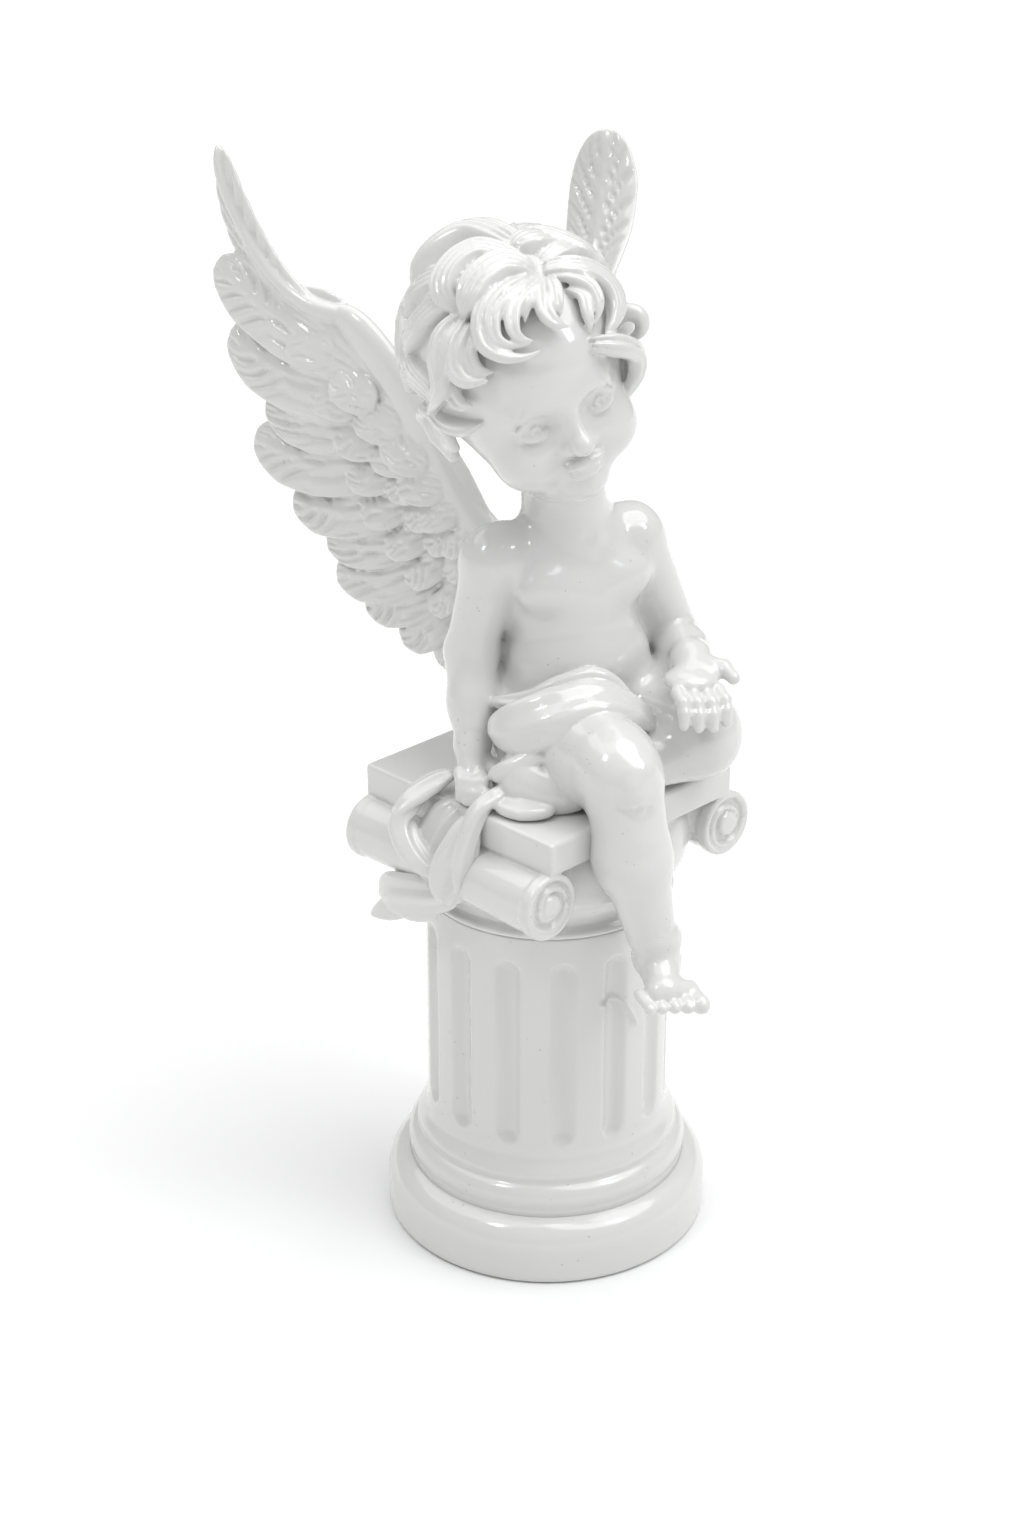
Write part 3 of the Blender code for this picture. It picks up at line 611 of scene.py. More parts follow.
def torso_hollows():
    return [
        ball((17, -42, 78), (2.5, 6, 3.5), 4),
        limb((17, -40, 150), 1.5, (17, -44, 108), 1.5, 7),
        limb((-22, -36, 119), 2.2, (6, -43, 113), 2.2, 6),
        limb((56, -36, 119), 2.2, (28, -43, 113), 2.2, 6),
        limb((17, 44, 150), 2, (15, 52, 70), 2, 9),
        ball((17, -30, 173), (5, 5, 5), 5),
    ]


def finger(start, end, bend, radius):
    """One finger of three joints, a little thicker at each joint."""
    start, end, bend = np.array(start, float), np.array(end, float), np.array(bend, float)
    first = start + (end - start) * 0.36 + bend
    second = start + (end - start) * 0.7 + bend * 0.8
    made = chain([start, first, second, end], [radius, radius * 0.92, radius * 0.9, radius * 0.78], 1.6)
    return made + [ball(first, [radius] * 3, 1.5)]


def fingers(knuckles, tips, radius, bend):
    made = []
    starts = np.linspace(knuckles[0], knuckles[1], 4)
    ends = np.linspace(tips[0], tips[1], 4)
    for start, end, reach in zip(starts, ends, (0.9, 1.0, 1.04, 0.92)):
        made += finger(start, start + (end - start) * reach, bend, radius)
    return made


def arms():
    right = [
        ball((-40, 4, 156), (22, 22, 23), 9),
        limb((-41, 5, 152), 20, (-52, 14, 90), 17, 9),
        limb((-52, 14, 88), 17.5, (-58, -1, 56), 16.5, 8),
        limb((-58, -1, 56), 16, (-64, -13, 32), 11.5, 8),
        limb((-65, -14, 31), 11, (-70, -27, 16), 9.5, 6),
    ]
    right += fingers(((-78, -24, 19), (-66, -31, 19)), ((-83, -35, 4), (-72, -46, 4)), 4.5, (0, -3, 2))
    right += chain([(-60, -22, 24), (-55, -32, 18), (-56, -40, 12)], [5.5, 5, 4.2], 3)
    left = [
        ball((62, 4, 154), (20, 22, 23), 9),
        limb((66, 4, 152), 20, (94, -1, 78), 18.5, 9),
        limb((97, -1, 76), 17.5, (90, -26, 79), 16, 8),
        limb((90, -26, 79), 16, (82, -50, 82), 13.5, 9),
        limb((82, -50, 82), 12.5, (76, -64, 80), 11, 8),
        ball((70, -72, 79), (19, 17, 8), 6),
        ball((84, -68, 82), (8, 12, 7), 5),
    ]
    left += fingers(((54, -83, 76), (83, -86, 74)), ((50, -101, 58), (80, -105, 57)), 5, (0, -4, 3))
    left += chain([(86, -64, 84), (93, -75, 84), (94, -87, 81)], [6.5, 5.5, 4.6], 3)
    return right + left


def toes():
    made = []
    for share in np.linspace(0, 1, 5):
        size = 4.0 + 2.9 * share**2
        middle = np.array((-1 + 33 * share + 2 * share**2, -158 - 5 * share, -112 - 2 * share))
        made.append(ball(middle, (size * 0.88, size * 1.2, size), 1.4))
        made.append(limb(middle + (-1, 14, 4), size * 0.95, middle, size * 0.85, 2))
    return made


def legs():
    right = [
        limb((-12, 4, 38), 37, (2, -88, 39), 30, 12),
        limb((-30, -26, 18), 17, (-4, -84, 20), 17, 14),
        ball((2, -104, 36), (27, 25, 26), 10),
        ball((4, -122, 42), (12, 9, 11), 8),
        limb((4, -106, 26), 25, (7, -113, -22), 26.5, 9),
        limb((7, -113, -22), 25, (19, -120, -78), 17, 9),
        ball((-1, -128, 33), (8, 6, 9), 6),
        ball((23, -120, -82), (17.5, 17, 12), 5),
        ball((24, -116, -98), (15.5, 17, 15), 5),
        limb((22, -126, -99), 16, (15, -146, -107), 11.5, 7),
        limb((9, -148, -109), 8, (27, -150, -110), 8.5, 6),
    ]
    left = [
        limb((44, 6, 38), 36, (80, -58, 38), 30, 12),
        ball((82, -70, 34), (26, 25, 26), 10),
        limb((80, -68, 26), 22, (30, -66, 20), 18, 9),
        limb((30, -66, 20), 15, (0, -50, 14), 13, 8),
    ]
    return right + left + toes()


def leg_hollows():
    crease = [(8, -122, -70), (24, -138, -71), (43, -122, -68)]
    ankle = [(10, -126, -92), (24, -140, -95), (41, -124, -92)]
    made = chain(crease, [1.2, 1.4, 1.2], 3) + chain(ankle, [1, 1.2, 1], 3)
    made += chain([(-10, -124, 24), (2, -132, 20), (16, -134, 20)], [1, 1.4, 1], 5)
    for share in np.linspace(0, 1, 5):
        nail = (-1 + 33 * share + 2 * share**2, -163 - 6 * share, -108.5 - share)
        made.append(ball(nail, (2.2 + share, 2.4, 1.6 + share * 0.5), 1))
    return made


# The head


def head_frame():
    return (
        Matrix.Translation((-17, 1, 281))
        @ Matrix.Rotation(math.radians(-4), 4, "Z")
        @ Matrix.Rotation(math.radians(-19), 4, "Y")
        @ Matrix.Rotation(math.radians(3), 4, "X")
        @ Matrix.Scale(figure_sizes().head_scale, 4)
    )


def head():
    f = head_frame()
    made = [
        ball((0, 8, 12), (59, 66, 59), 12, f),
        ball((0, 15, 17), (61, 66, 61), 10, f),
        ball((0, -20, 14), (46, 38, 38), 12, f),
        ball((0, -18, -22), (46, 42, 44), 14, f),
        ball((0, -44, -56), (15, 14, 13), 12, f),
        ball((0, -22, -58), (25, 24, 14), 12, f),
        limb((0, -57, -4), 4.5, (0, -65, -22), 6, 7, f),
        ball((0, -67, -25), (7.2, 7, 6.2), 4, f),
        ball((0, -59.5, -44.5), (9.5, 5.5, 4), 4, f),
        ball((0, -52, 2), (30, 8, 7), 9, f),
    ]
    for side in (-1, 1):
        made += [
            ball((side * 24, -37, -33), (21, 20, 20), 10, f),
            ball((side * 6.5, -59.5, -27), (4.6, 5.2, 4.2), 4, f),
            ball((side * 5, -60.5, -38), (8, 5, 3.2), 4, f),
            ball((side * 59, 6, -12), (5, 13, 17), 4, f),
        ]
        rim = [(58, -6, -22), (62, -5, -4), (65, 6, 4), (66, 16, -4), (63, 14, -20), (59, 2, -30)]
        rim = [(side * x, y, z) for x, y, z in rim]
        made += chain(rim, [3, 3.4, 3.4, 3.4, 3.6, 4.2], 2.5, f)
    return made


def head_hollows():
    f = head_frame()
    made = [limb((-8, -68, -41.2), 1.3, (8, -68, -41.2), 1.3, 1.5, f)]
    for side in (-1, 1):
        made += [
            ball((side * 21, -62, -9), (12, 8.5, 7.5), 9, f),
            ball((side * 66, 3, -12), (5, 6, 9), 3, f),
            limb((side * 7, -67, -41.2), 0.9, (side * 13, -60, -40.5), 1.3, 2, f),
            ball((side * 3.2, -71, -30.5), (1.5, 2.6, 1.5), 1.5, f),
        ]
    return made


EYE_PLACE = (21, -45, -9.5)
EYE_SIZE = 11.2


def eyes():
    """Eyeballs and lids, set into the hollows."""
    f = head_frame()
    made = []
    for side in (-1, 1):
        centre = np.array((side * EYE_PLACE[0], *EYE_PLACE[1:]))
        made.append(ball(centre, [EYE_SIZE] * 3, 1.5, f))
        for lift, thick in ((38, 2.4), (-27, 1.9)):
            arch = []
            for turn in np.radians(np.linspace(-52, 52, 9)):
                rise = math.radians(lift) * math.cos(turn * 1.45) + math.radians(3)
                level = math.cos(rise)
                way = (math.sin(turn) * level, -math.cos(turn) * level, math.sin(rise))
                arch.append(tuple(centre + 11.6 * np.array(way)))
            made += chain(arch, [thick] * 9, 2, f)
    return made


def engrave_eyes(points):
    """Sinks an iris ring and a pupil into both eyeballs, and a crease beside each lid."""
    f = head_frame()
    scale = f.to_scale()[0]
    for side in (-1, 1):
        centre = np.array(f @ Vector((side * EYE_PLACE[0], *EYE_PLACE[1:])))
        gaze = np.array((f.to_3x3() @ Vector((0.02, -1, -0.02))).normalized())
        offset = points - centre
        far = np.linalg.norm(offset, axis=1)
        ball_skin = np.abs(far - EYE_SIZE * scale) < 0.55
        angle = np.degrees(np.arccos(np.clip(offset @ gaze / np.maximum(far, 1e-6), -1, 1)))
        ring = 0.9 * bell(angle - 24, 4.5)
        pupil = 1.9 * bell(angle, 10)
        sink = np.where(ball_skin, ring + pupil, 0)
        across, ahead, above = (offset @ np.array(f.to_3x3().inverted().transposed())).T
        rise = np.degrees(np.arctan2(above, np.hypot(across, ahead)))
        turn = np.degrees(np.arctan2(across, -ahead))
        near = np.clip((EYE_SIZE + 12 - far / scale) / 4, 0, 1) * np.clip((62 - np.abs(turn)) / 12, 0, 1)
        for lift, width, depth in ((56, 5, 1.8), (-44, 5, 1.0)):
            crease = lift * np.cos(np.radians(turn) * 1.3) + 3
            sink += depth * bell(rise - crease, width) * near * (ahead < 0)
        points -= unit(offset) * sink[:, None]


# The hair: locks laid over the scalp by turn from the brow and fall from the crown, in degrees


FRONT_LOCKS = (
    (5.5, 11, 4, ((27, 40), (-3, 37), (-24, 48), (-30, 59), (-28, 69), (-17, 76), (-3, 77))),
    (4.5, 12, 3, ((28, 42), (-1, 44), (-17, 50), (-23, 58), (-21, 68), (-7, 73))),
    (4, 11, 2, ((26, 44), (3, 49), (-7, 53), (-13, 61), (-12, 68), (-4, 72))),
    (3.5, 9, 1, ((26, 46), (10, 51), (0, 54), (-6, 62))),
    (5, 10, 5, ((28, 45), (14, 53), (7, 61), (8, 68), (15, 73))),
    (4, 10, 2, ((30, 46), (22, 53), (16, 60), (14, 67))),
    (7.5, 12, 2, ((32, 40), (44, 50), (54, 61), (56, 73), (49, 82), (36, 87))),
    (4, 11, 0, ((31, 46), (39, 54), (43, 64), (39, 73), (31, 80))),
    (3.5, 8, 0, ((33, 56), (36, 64), (30, 73), (28, 82))),
    (8, 11, 2, ((40, 36), (66, 44), (84, 56), (86, 70), (78, 82))),
    (9.5, 12, 1, ((26, 39), (4, 30), (-23, 35), (-34, 43), (-42, 50))),
    (9, 15, -2, ((28, 31), (-13, 16), (-50, 26), (-54, 38), (-44, 47))),
    (12, 15, 0, ((50, 26), (147, 12), (-152, 20), (-130, 32), (-118, 43))),
    (8.5, 9, 1, ((-46, 34), (-60, 41), (-74, 51), (-88, 61), (-96, 70))),
    (6.5, 12, 4, ((-42, 47), (-54, 56), (-58, 69), (-58, 80), (-66, 88), (-84, 99))),
    (6, 11, 5, ((-39, 50), (-46, 61), (-49, 72), (-44, 80), (-33, 82))),
    (4.5, 9, 3, ((-32, 52), (-40, 65), (-38, 76), (-29, 79))),
    (7.5, 7, 3, ((-86, 60), (-92, 71), (-82, 78), (-72, 83), (-71, 90), (-82, 98))),
    (4.5, 8, 5, ((-54, 74), (-56, 84), (-53, 91), (-46, 93))),
    (5.5, 6, 1, ((-88, 95), (-78, 104), (-62, 107), (-48, 105))),
    (7.5, 5, 2, ((-112, 48), (-120, 62), (-108, 74), (-100, 83), (-100, 92))),
    (6.5, 13, 3, ((24, 86), (38, 94), (52, 104), (55, 116), (46, 128))),
    (5, 9, 2, ((62, 100), (66, 110), (62, 122), (52, 132))),
    (7, 9, 3, ((80, 76), (92, 86), (84, 98), (90, 110), (82, 120))),
)
BACK_TURNS = (86, 106, 127, 148, 170, 192, 214, 234, 252)


def scalp(turn, fall, lift):
    """A point over the skull: turn from the brow, fall from the crown, in degrees."""
    turn, fall = math.radians(turn), math.radians(fall)
    lean = Matrix.Rotation(math.radians(-10), 4, "X")
    level = math.sin(fall)
    way = lean @ Vector((level * math.sin(turn), -level * math.cos(turn), math.cos(fall)))
    shell = Vector((way.x * (61 + lift), way.y * (69 + lift) + 8, way.z * (62 + lift) + 12))
    return np.array(head_frame() @ shell)


def lock(bm, half_width, rise, curl, places):
    """One lock of hair: a bundle of strands that rises off the scalp and meets at its tip."""
    count = 9
    places = smooth_path([scalp(turn, fall, 4) for turn, fall in places], count)
    middle = np.array(head_frame() @ Vector((0, 8, 8)))
    outward = unit(places - middle)
    shares = np.linspace(0, 1, count)
    scale = figure_sizes().head_scale
    lift = (rise * np.sin(0.35 + shares * 2.3) - 6 + curl * shares**3) * scale
    path = places + outward * lift[:, None]
    forward = unit(np.gradient(path, axis=0))
    sides = unit(np.cross(forward, outward))
    strands = 2 + (half_width > 5) + (half_width > 7)
    full = half_width * scale
    thick = full * (0.95 / strands + 0.1)
    spread = full * (1 - 0.9 / strands)
    for place in np.linspace(-1, 1, strands):
        fan = np.interp(shares, (0, 0.2, 0.65, 1), (0.55, 1, 0.9, 0.12)) * place * spread
        sway = 0.5 * np.sin(shares * 5 + place * 2 + half_width)
        drop = -abs(place) * full * 0.22
        line = path + sides * (fan + sway)[:, None] + outward * (drop + 0.6 * np.cos(place * 7))
        widths = [thick * 0.6, thick, thick * 1.1, thick, thick * 0.8, thick * 0.4]
        depths = [full * 0.75, full * 0.8, full * 0.75, full * 0.7, full * 0.4]
        sweep(bm, line, widths, depths, sides, rings=32, around=20)


def back_hair(bm):
    """Waves from the parting over the back of the head to the nape, in two layers."""
    for index, turn in enumerate(BACK_TURNS):
        wave = 9 if index % 2 else -9
        crown = (60 + index * 28, 16)
        places = [crown, (turn, 34), (turn + wave, 52), (turn - wave, 70), (turn + wave * 0.6, 88)]
        lock(bm, 11, 10 if turn < 200 else 6, 4, places)
        lower = turn + 10
        if lower < 250:
            reach = 18 if lower < 210 else 11
            falls = [62 + reach * step for step in range(4)]
            under = [(lower + way * wave, fall) for way, fall in zip((0, -1, 1, -0.7), falls)]
            lock(bm, 9.5, 9 if turn < 200 else 5, 4, under)
    for turn, fall in ((40, 20), (100, 14), (200, 16), (300, 18)):
        lock(bm, 9, 9, 0, [(turn, fall), (turn + 24, fall + 10), (turn + 40, fall + 26)])


def ringlet(bm, turn, fall, lift, radius, thick, facing, sweep_angles):
    """A round curl beside the head; facing turns it from the scalp (0) to the front (90)."""
    centre = scalp(turn, fall, lift)
    along = unit(scalp(turn + 5, fall, lift) - centre)
    below = unit(scalp(turn, fall + 5, lift) - centre)
    outward = np.cross(below, along)
    facing = math.radians(facing)
    beside = along * math.cos(facing) + outward * math.sin(facing)
    scale = figure_sizes().head_scale
    path = []
    for angle in np.radians(np.linspace(*sweep_angles, 12)):
        way = beside * math.cos(angle) + below * math.sin(angle)
        path.append(centre + way * radius * scale)
    full = thick * scale
    normal = np.cross(beside, below)
    widths, depths = [full * 0.9, full, full * 0.7], [full, full * 1.1, full * 0.6]
    sweep(bm, path, widths, depths, normal, rings=36, around=20)


def hair(bm):
    for half_width, rise, curl, places in FRONT_LOCKS:
        lock(bm, half_width, rise, curl, places)
    back_hair(bm)
    ringlet(bm, 61, 93, 8, 7.5, 5, 84, (-190, 110))
    ringlet(bm, -108, 46, 5, 5, 4.5, 0, (-60, 270))
    for place in ((0, 8, 12), (0, 15, 17)):
        ball(place, (60, 67, 60), 0, head_frame()).add_blank(bm)


# The drapery


def folds(count, depth, slant=0.0):
    """Soft folds along a strip of cloth."""

    def carve(share, across, face):
        return depth * np.cos((across + slant * share) * count * math.pi) * face * (1 - across**2)

    return carve


def drapery(bm):
    """The cloth over the lap, its fold under the hand and the tail over the slab's edge."""
    strips = (
        ([(-58, -26, 46), (-47, -46, 54), (-24, -62, 66), (4, -66, 70), (30, -64, 60), (50, -62, 42)],
         [17, 19, 20, 18, 13, 8], [7, 8, 8, 8, 7, 5],
         [(0, 0.1, 1), (0, 0.3, 0.95), (0, 0.6, 0.8), (0, 0.75, 0.65), (0.2, 0.6, 0.75), (0.4, 0.4, 0.8)],
         folds(1.5, 1.6, 0.5)),
        ([(-52, -14, 62), (-32, -36, 66), (-14, -46, 74), (8, -50, 78), (24, -54, 70), (42, -58, 50)],
         [7, 10, 12, 12, 10, 6], [6, 7, 7, 7, 6, 4], (0, 0.45, 0.9), folds(2, 1.5, 0.3)),
        ([(-52, -38, 30), (-48, -54, 20), (-30, -70, 13), (-6, -82, 10)],
         [15, 17, 15, 9], [9, 11, 10, 6], (0, 0.2, 1), None),
        ([(-60, -36, 20), (-60, -46, 24), (-54, -52, 30), (-42, -58, 36), (-26, -66, 38)],
         [6, 6.5, 6, 6, 4], [5, 5.5, 6, 5, 3], (0, 0.2, 1), None),
        ([(-48, -46, 14), (-60, -50, 12), (-76, -53, 4), (-86, -55, -12), (-92, -56, -34), (-93, -54, -56)],
         [6, 7, 8, 8, 9, 9], [5, 5, 6, 7, 7, 6], (0.75, 0.6, 0.3), folds(1.5, 1)),
        ([(-80, -50, 0), (-88, -52, -16), (-94, -50, -38), (-98, -47, -66)],
         [8, 12, 17, 16], [6, 7, 8, 7], (0.9, -0.42, 0.1), folds(3, 1.6, 0.5)),
        ([(-74, -12, 14), (-90, -9, 8), (-106, -8, -2), (-115, -12, -14), (-116, -22, -26), (-109, -34, -38),
          (-96, -44, -46)],
         [8, 11, 12, 12, 11, 11, 9], [6, 6, 7, 7, 7, 6, 5], (0.7, 0.6, 0.4), folds(2, 1.6, 0.5)),
        ([(-74, -32, -2), (-88, -30, -12), (-98, -28, -32), (-100, -36, -58)],
         [12, 18, 19, 15], [4, 4, 5, 6], (-0.35, 0.85, 0.3), folds(3, 1.6)),
        ([(-64, -50, 5), (-50, -66, 5), (-32, -78, 6)],
         [10, 14, 10], [6, 7, 6], (0.55, 0.8, 0), folds(2, 1)),
        ([(-90, -50, -58), (-104, -24, -68), (-114, 0, -76), (-119, 22, -84)],
         [13, 15, 16, 16], [7, 7, 6, 5], (0.1, -0.25, 1), folds(2, 1.4)),
        ([(-92, -50, -44), (-102, -14, -60), (-108, 8, -60), (-112, 30, -54)],
         [6, 7, 7, 4], [5, 5, 4, 2.5], (0.3, -0.3, 0.9), None),
        ([(-108, -6, -82), (-117, 14, -94), (-124, 28, -104)],
         [11, 9, 3], [6, 5.5, 3], (0.3, -0.3, 0.9), None),
        ([(-98, -34, -74), (-106, -16, -84), (-113, -2, -92)],
         [10, 8, 4], [6, 5, 3], (0.3, -0.3, 0.9), None),
    )
    for path, widths, depths, side, carve in strips:
        sweep(bm, path, widths, depths, side, rings=40, around=32, carve=carve)


def to_room(mesh):
    """From the child's steps to metres on the slab."""
    seat = COLUMN_HEIGHT + capital_sizes().height
    place = Matrix.Translation((0, 0, seat)) @ Matrix.Rotation(figure_sizes().turn, 4, "Z")
    mesh.transform(place @ Matrix.Scale(STEP, 4))
    return mesh


def blank_mesh(solids, cell):
    blank = bmesh.new()
    for volume in solids:
        volume.add_blank(blank)
    return fused(mesh_of("blank", blank), cell)


def figure_mesh():
    """The child without its wings, as one fused mesh in metres."""
    cell = figure_sizes().mesh_step / STEP
    lower = torso() + arms() + legs()
    solids = lower + head()
    hollows = torso_hollows() + leg_hollows() + head_hollows()
    bm = bmesh.new()
    body_step, head_step = 1.6, 0.9
    for part, step in ((lower, body_step), (head(), head_step)):
        skin = blank_mesh(part, step)
        settle(skin, solids, hollows)
        bm.from_mesh(skin)
    for volume in eyes():
        volume.add_blank(bm)
    hair(bm)
    drapery(bm)
    whole = fused(mesh_of("whole", bm), cell)
    points = points_of(whole)
    engrave_eyes(points)
    set_points(whole, points)
    return to_room(softened("cherub", whole, 2, CHILD_TRIANGLES))


# Wings


RIGHT_WING = {"root": (-14, 84), "heading": (-0.506, 0.863), "twist": 15, "rise": 1.0, "primary": 20}
LEFT_WING = {"root": (46, 84), "heading": (0.537, 0.843), "twist": 78, "rise": 0.97, "primary": 36}
WING_ARM = ((-52, 112), (-24, 130), (8, 158), (31, 188), (56, 228), (86, 262), (106, 279), (126, 283))
WING_PRIMARY = ((72, 232), (112, 250), (147, 274), (178, 305), (200, 346), (210, 386))
WING_RIM = ((104, 281), (134, 284), (162, 300), (188, 330), (207, 365), (212, 388))
WING_EDGE = ((227, 300), (214, 236), (192, 166), (122, 80), (32, 30))
FLIGHTS = (
    ((93, 244), (216, 306), 25, -5),
    ((87, 222), (208, 256), 27, -7),
    ((81, 205), (180, 208), 22, -6),
    ((77, 180), (192, 180), 25, -8),
    ((68, 151), (161, 138), 21, -6),
    ((53, 129), (133, 113), 18, -5),
    ((40, 113), (126, 88), 20, -6),
    ((29, 99), (102, 69), 19, -5),
    ((20, 88), (72, 50), 19, -4),
    ((4, 80), (41, 38), 17, -3),
)
COVERTS = (
    (5.5, 17, ((136, 262), (118, 226), (101, 199), (92, 174), (82, 150), (64, 130), (49, 111), (31, 94))),
    (7.0, 15, ((101, 234), (82, 214), (70, 191), (59, 172), (45, 154), (30, 139), (16, 122))),
    (8.0, 14, ((58, 196), (46, 174), (32, 156), (16, 140))),
)


def wing_place(wing, out, up, lift=0.0):
    """A point in a wing's plane, lifted towards the front of the work."""
    heading = np.array((*wing["heading"], 0.0))
    cup = 0.0011 * max(out, 0) ** 1.9 * 0.35
    root = np.array((*wing["root"], 0.0))
    return root + heading * out + wing_normal(wing) * (lift + cup) + np.array((0, 0, up * wing["rise"]))


def barbs(spacing, length, depth, seed, shaft, reach):
    """Slanting waves cut into both sides of a feather from reach on, and long strokes before that."""

    def carve(share, across, face):
        side = np.sign(across)
        wobble = 0.35 * np.sin(share * 9 + seed + side) + 0.2 * np.sin(across * 5 + seed * 2.3)
        slant = share * length / spacing - np.abs(across) * 2.2 + wobble + 0.4 * side
        waves = (0.5 + 0.5 * np.cos(slant * math.tau)) ** 2.5
        away = np.clip((np.abs(across) - 0.1) / 0.2, 0, 1) * np.clip((1 - np.abs(across)) * 6, 0, 1)
        outer = np.clip((share - reach) * 7, 0, 1)
        lines = (0.5 + 0.5 * np.cos((across * 2.3 + 0.5 * share + seed) * math.tau)) ** 7
        broken = 0.55 + 0.45 * np.sin(share * 16 + across * 9 + seed)
        inner = np.clip((reach + 0.12 - share) * 9, 0, 1) * broken
        ridge = shaft * bell(across, 0.1) * (1.1 - share)
        rim = 0.35 * np.clip((np.abs(across) - 0.55) / 0.3, 0, 1)
        return face * depth * (ridge + rim - waves * away * outer - lines * inner)

    return carve


def wing_normal(wing):
    """Towards the front of the work, across the wing's plane."""
    heading = wing["heading"]
    normal = np.array((heading[1], -heading[0], 0.0))
    return -normal if normal[1] > 0 else normal


def blade(bm, wing, places, widths, depth, lifts, tilts, carve, rings, around, blunt=5):
    """A feather through places in the wing's plane, tilted about its length."""
    places = np.array(places, float)
    path = [wing_place(wing, *place, lift) for place, lift in zip(places, lifts)]
    along = unit(np.gradient(places, axis=0))
    flat = np.stack([-along[:, 1], along[:, 0]], 1)
    heading = np.array((*wing["heading"], 0.0))
    level = flat[:, :1] * heading + flat[:, 1:] * np.array((0, 0, 1.0))
    leans = np.radians(spread_over(tilts, np.linspace(0, 1, len(places))))[:, None]
    sides = level * np.cos(leans) + wing_normal(wing) * np.sin(leans)
    sweep(bm, path, widths, [depth * 0.9, depth, depth * 0.8], sides, rings, around, blunt, carve)


def straight_blade(bm, wing, base, tip, width, depth, lift, tilt, bow, carve, rings, around):
    """A feather from base to tip that bows upwards."""
    base, tip = np.array(base, float), np.array(tip, float)
    along = tip - base
    middle = (base + tip) / 2 + np.array((-along[1], along[0])) / np.linalg.norm(along) * bow
    widths = [width * 0.75, width * 0.95, width * 1.03, width, width * 0.72]
    lifts = (lift, lift + 1.5, lift)
    blade(bm, wing, (base, middle, tip), widths, depth, lifts, (0, tilt, tilt), carve, rings, around)


def wing_shape(bm, wing):
    """One wing: its arm, the ground under its feathers, then flight feathers and coverts."""
    arm = smooth_path(WING_ARM, 40)
    edge = smooth_path(WING_EDGE, 10)
    roots = arm[np.linspace(37, 9, 10).astype(int)]
    bones = [wing_place(wing, *place, 2) for place in WING_ARM]
    widths, depths = [20, 17, 15, 14, 14, 14, 12, 8], [13, 12, 9, 8, 8, 8.5, 8, 5]
    sweep(bm, bones, widths, depths, (0, 0, 1), rings=60, around=32)
    for root, tip in zip(roots[1:], edge[1:]):
        straight_blade(bm, wing, root, root + (tip - root) * 0.8, 20, 3.6, -2.5, 4, 2, None, 40, 24)
    skin = ((-24, 96), (4, 136), (28, 176), (52, 212), (80, 244))
    blade(bm, wing, skin, (24, 27, 25, 20, 12), 5, (3, 4, 4, 4, 3), (-4, -4), None, 60, 36)

    wide = wing["primary"]
    twist = wing["twist"]
    widths = [wide * 0.7, wide * 0.95, wide * 1.05, wide, wide * 0.85, wide * 0.6]
    cuts = barbs(16, 200, 3.4, 1, 0.35, 0.45)
    blade(bm, wing, WING_PRIMARY, widths, 4.4, (3, 3, 2, 1, 1, 1), (0, twist * 0.5, twist), cuts, 120, 48, 6)
    if wing is RIGHT_WING:
        blade(bm, wing, WING_RIM, [9, 7, 5.5, 5, 4.5], 7, (3, 4, 4, 3, 2, 1), (0, 20, 30), None, 80, 20)

    for index, (root, tip, width, bow) in enumerate(FLIGHTS):
        length = math.dist(root, tip)
        cuts = barbs(15, length, 4.2, index * 1.9, 0.25, 0.5)
        lift = 3.6 - 0.85 * index
        straight_blade(bm, wing, root, tip, width, 5.4, lift, -14, bow, cuts, 90, 56)
    for row, (lift, width, centres) in enumerate(COVERTS):
        for index, centre in enumerate(centres):
            fall = index / (len(centres) - 1)
            lean = math.radians(20 - 60 * fall)
            way = np.array((math.cos(lean), math.sin(lean)))
            base, tip = np.array(centre) - way * 24, np.array(centre) + way * 17
            cuts = barbs(11, 40, 2.6, index * 1.3 + row * 2.1, 0, 0.4)
            front = lift + 1.5 - 0.8 * index
            straight_blade(bm, wing, base, tip, width, 3.6, front, -20, -2, cuts, 50, 44)
            straight_blade(bm, wing, base, tip, width, 3.0, -lift + 1, 12, -2, cuts, 40, 36)


def wing_mesh(name, wing):
    bm = bmesh.new()
    wing_shape(bm, wing)
    cell = figure_sizes().mesh_step / STEP * 1.1
    return to_room(softened(name, fused(mesh_of("whole", bm), cell), 1, WING_TRIANGLES))


# White lacquer


def link(tree, start, out, end, into):
    tree.links.new(start.outputs[out], end.inputs[into])


def node(tree, kind, **values):
    """A shader node; each value sets the socket or, where there is none, the setting of its name."""
    made = tree.nodes.new(kind)
    for key, value in values.items():
        if key in made.inputs:
            made.inputs[key].default_value = value
        else:
            setattr(made, key, value)
    return made


def counted(tree, operation, *values):
    """A math node; each value is a number or a node with the name of its output."""
    made = node(tree, "ShaderNodeMath", operation=operation)
    for index, value in enumerate(values):
        if isinstance(value, tuple):
            link(tree, *value, made, index)
        else:
            made.inputs[index].default_value = value
    return made


def ramped(tree, start, out, low, high, kind):
    """Runs from 0 at low to 1 at high."""
    made = node(tree, "ShaderNodeMapRange", interpolation_type=kind)
    made.inputs["From Min"].default_value = low
    made.inputs["From Max"].default_value = high
    link(tree, start, out, made, "Value")
    return made


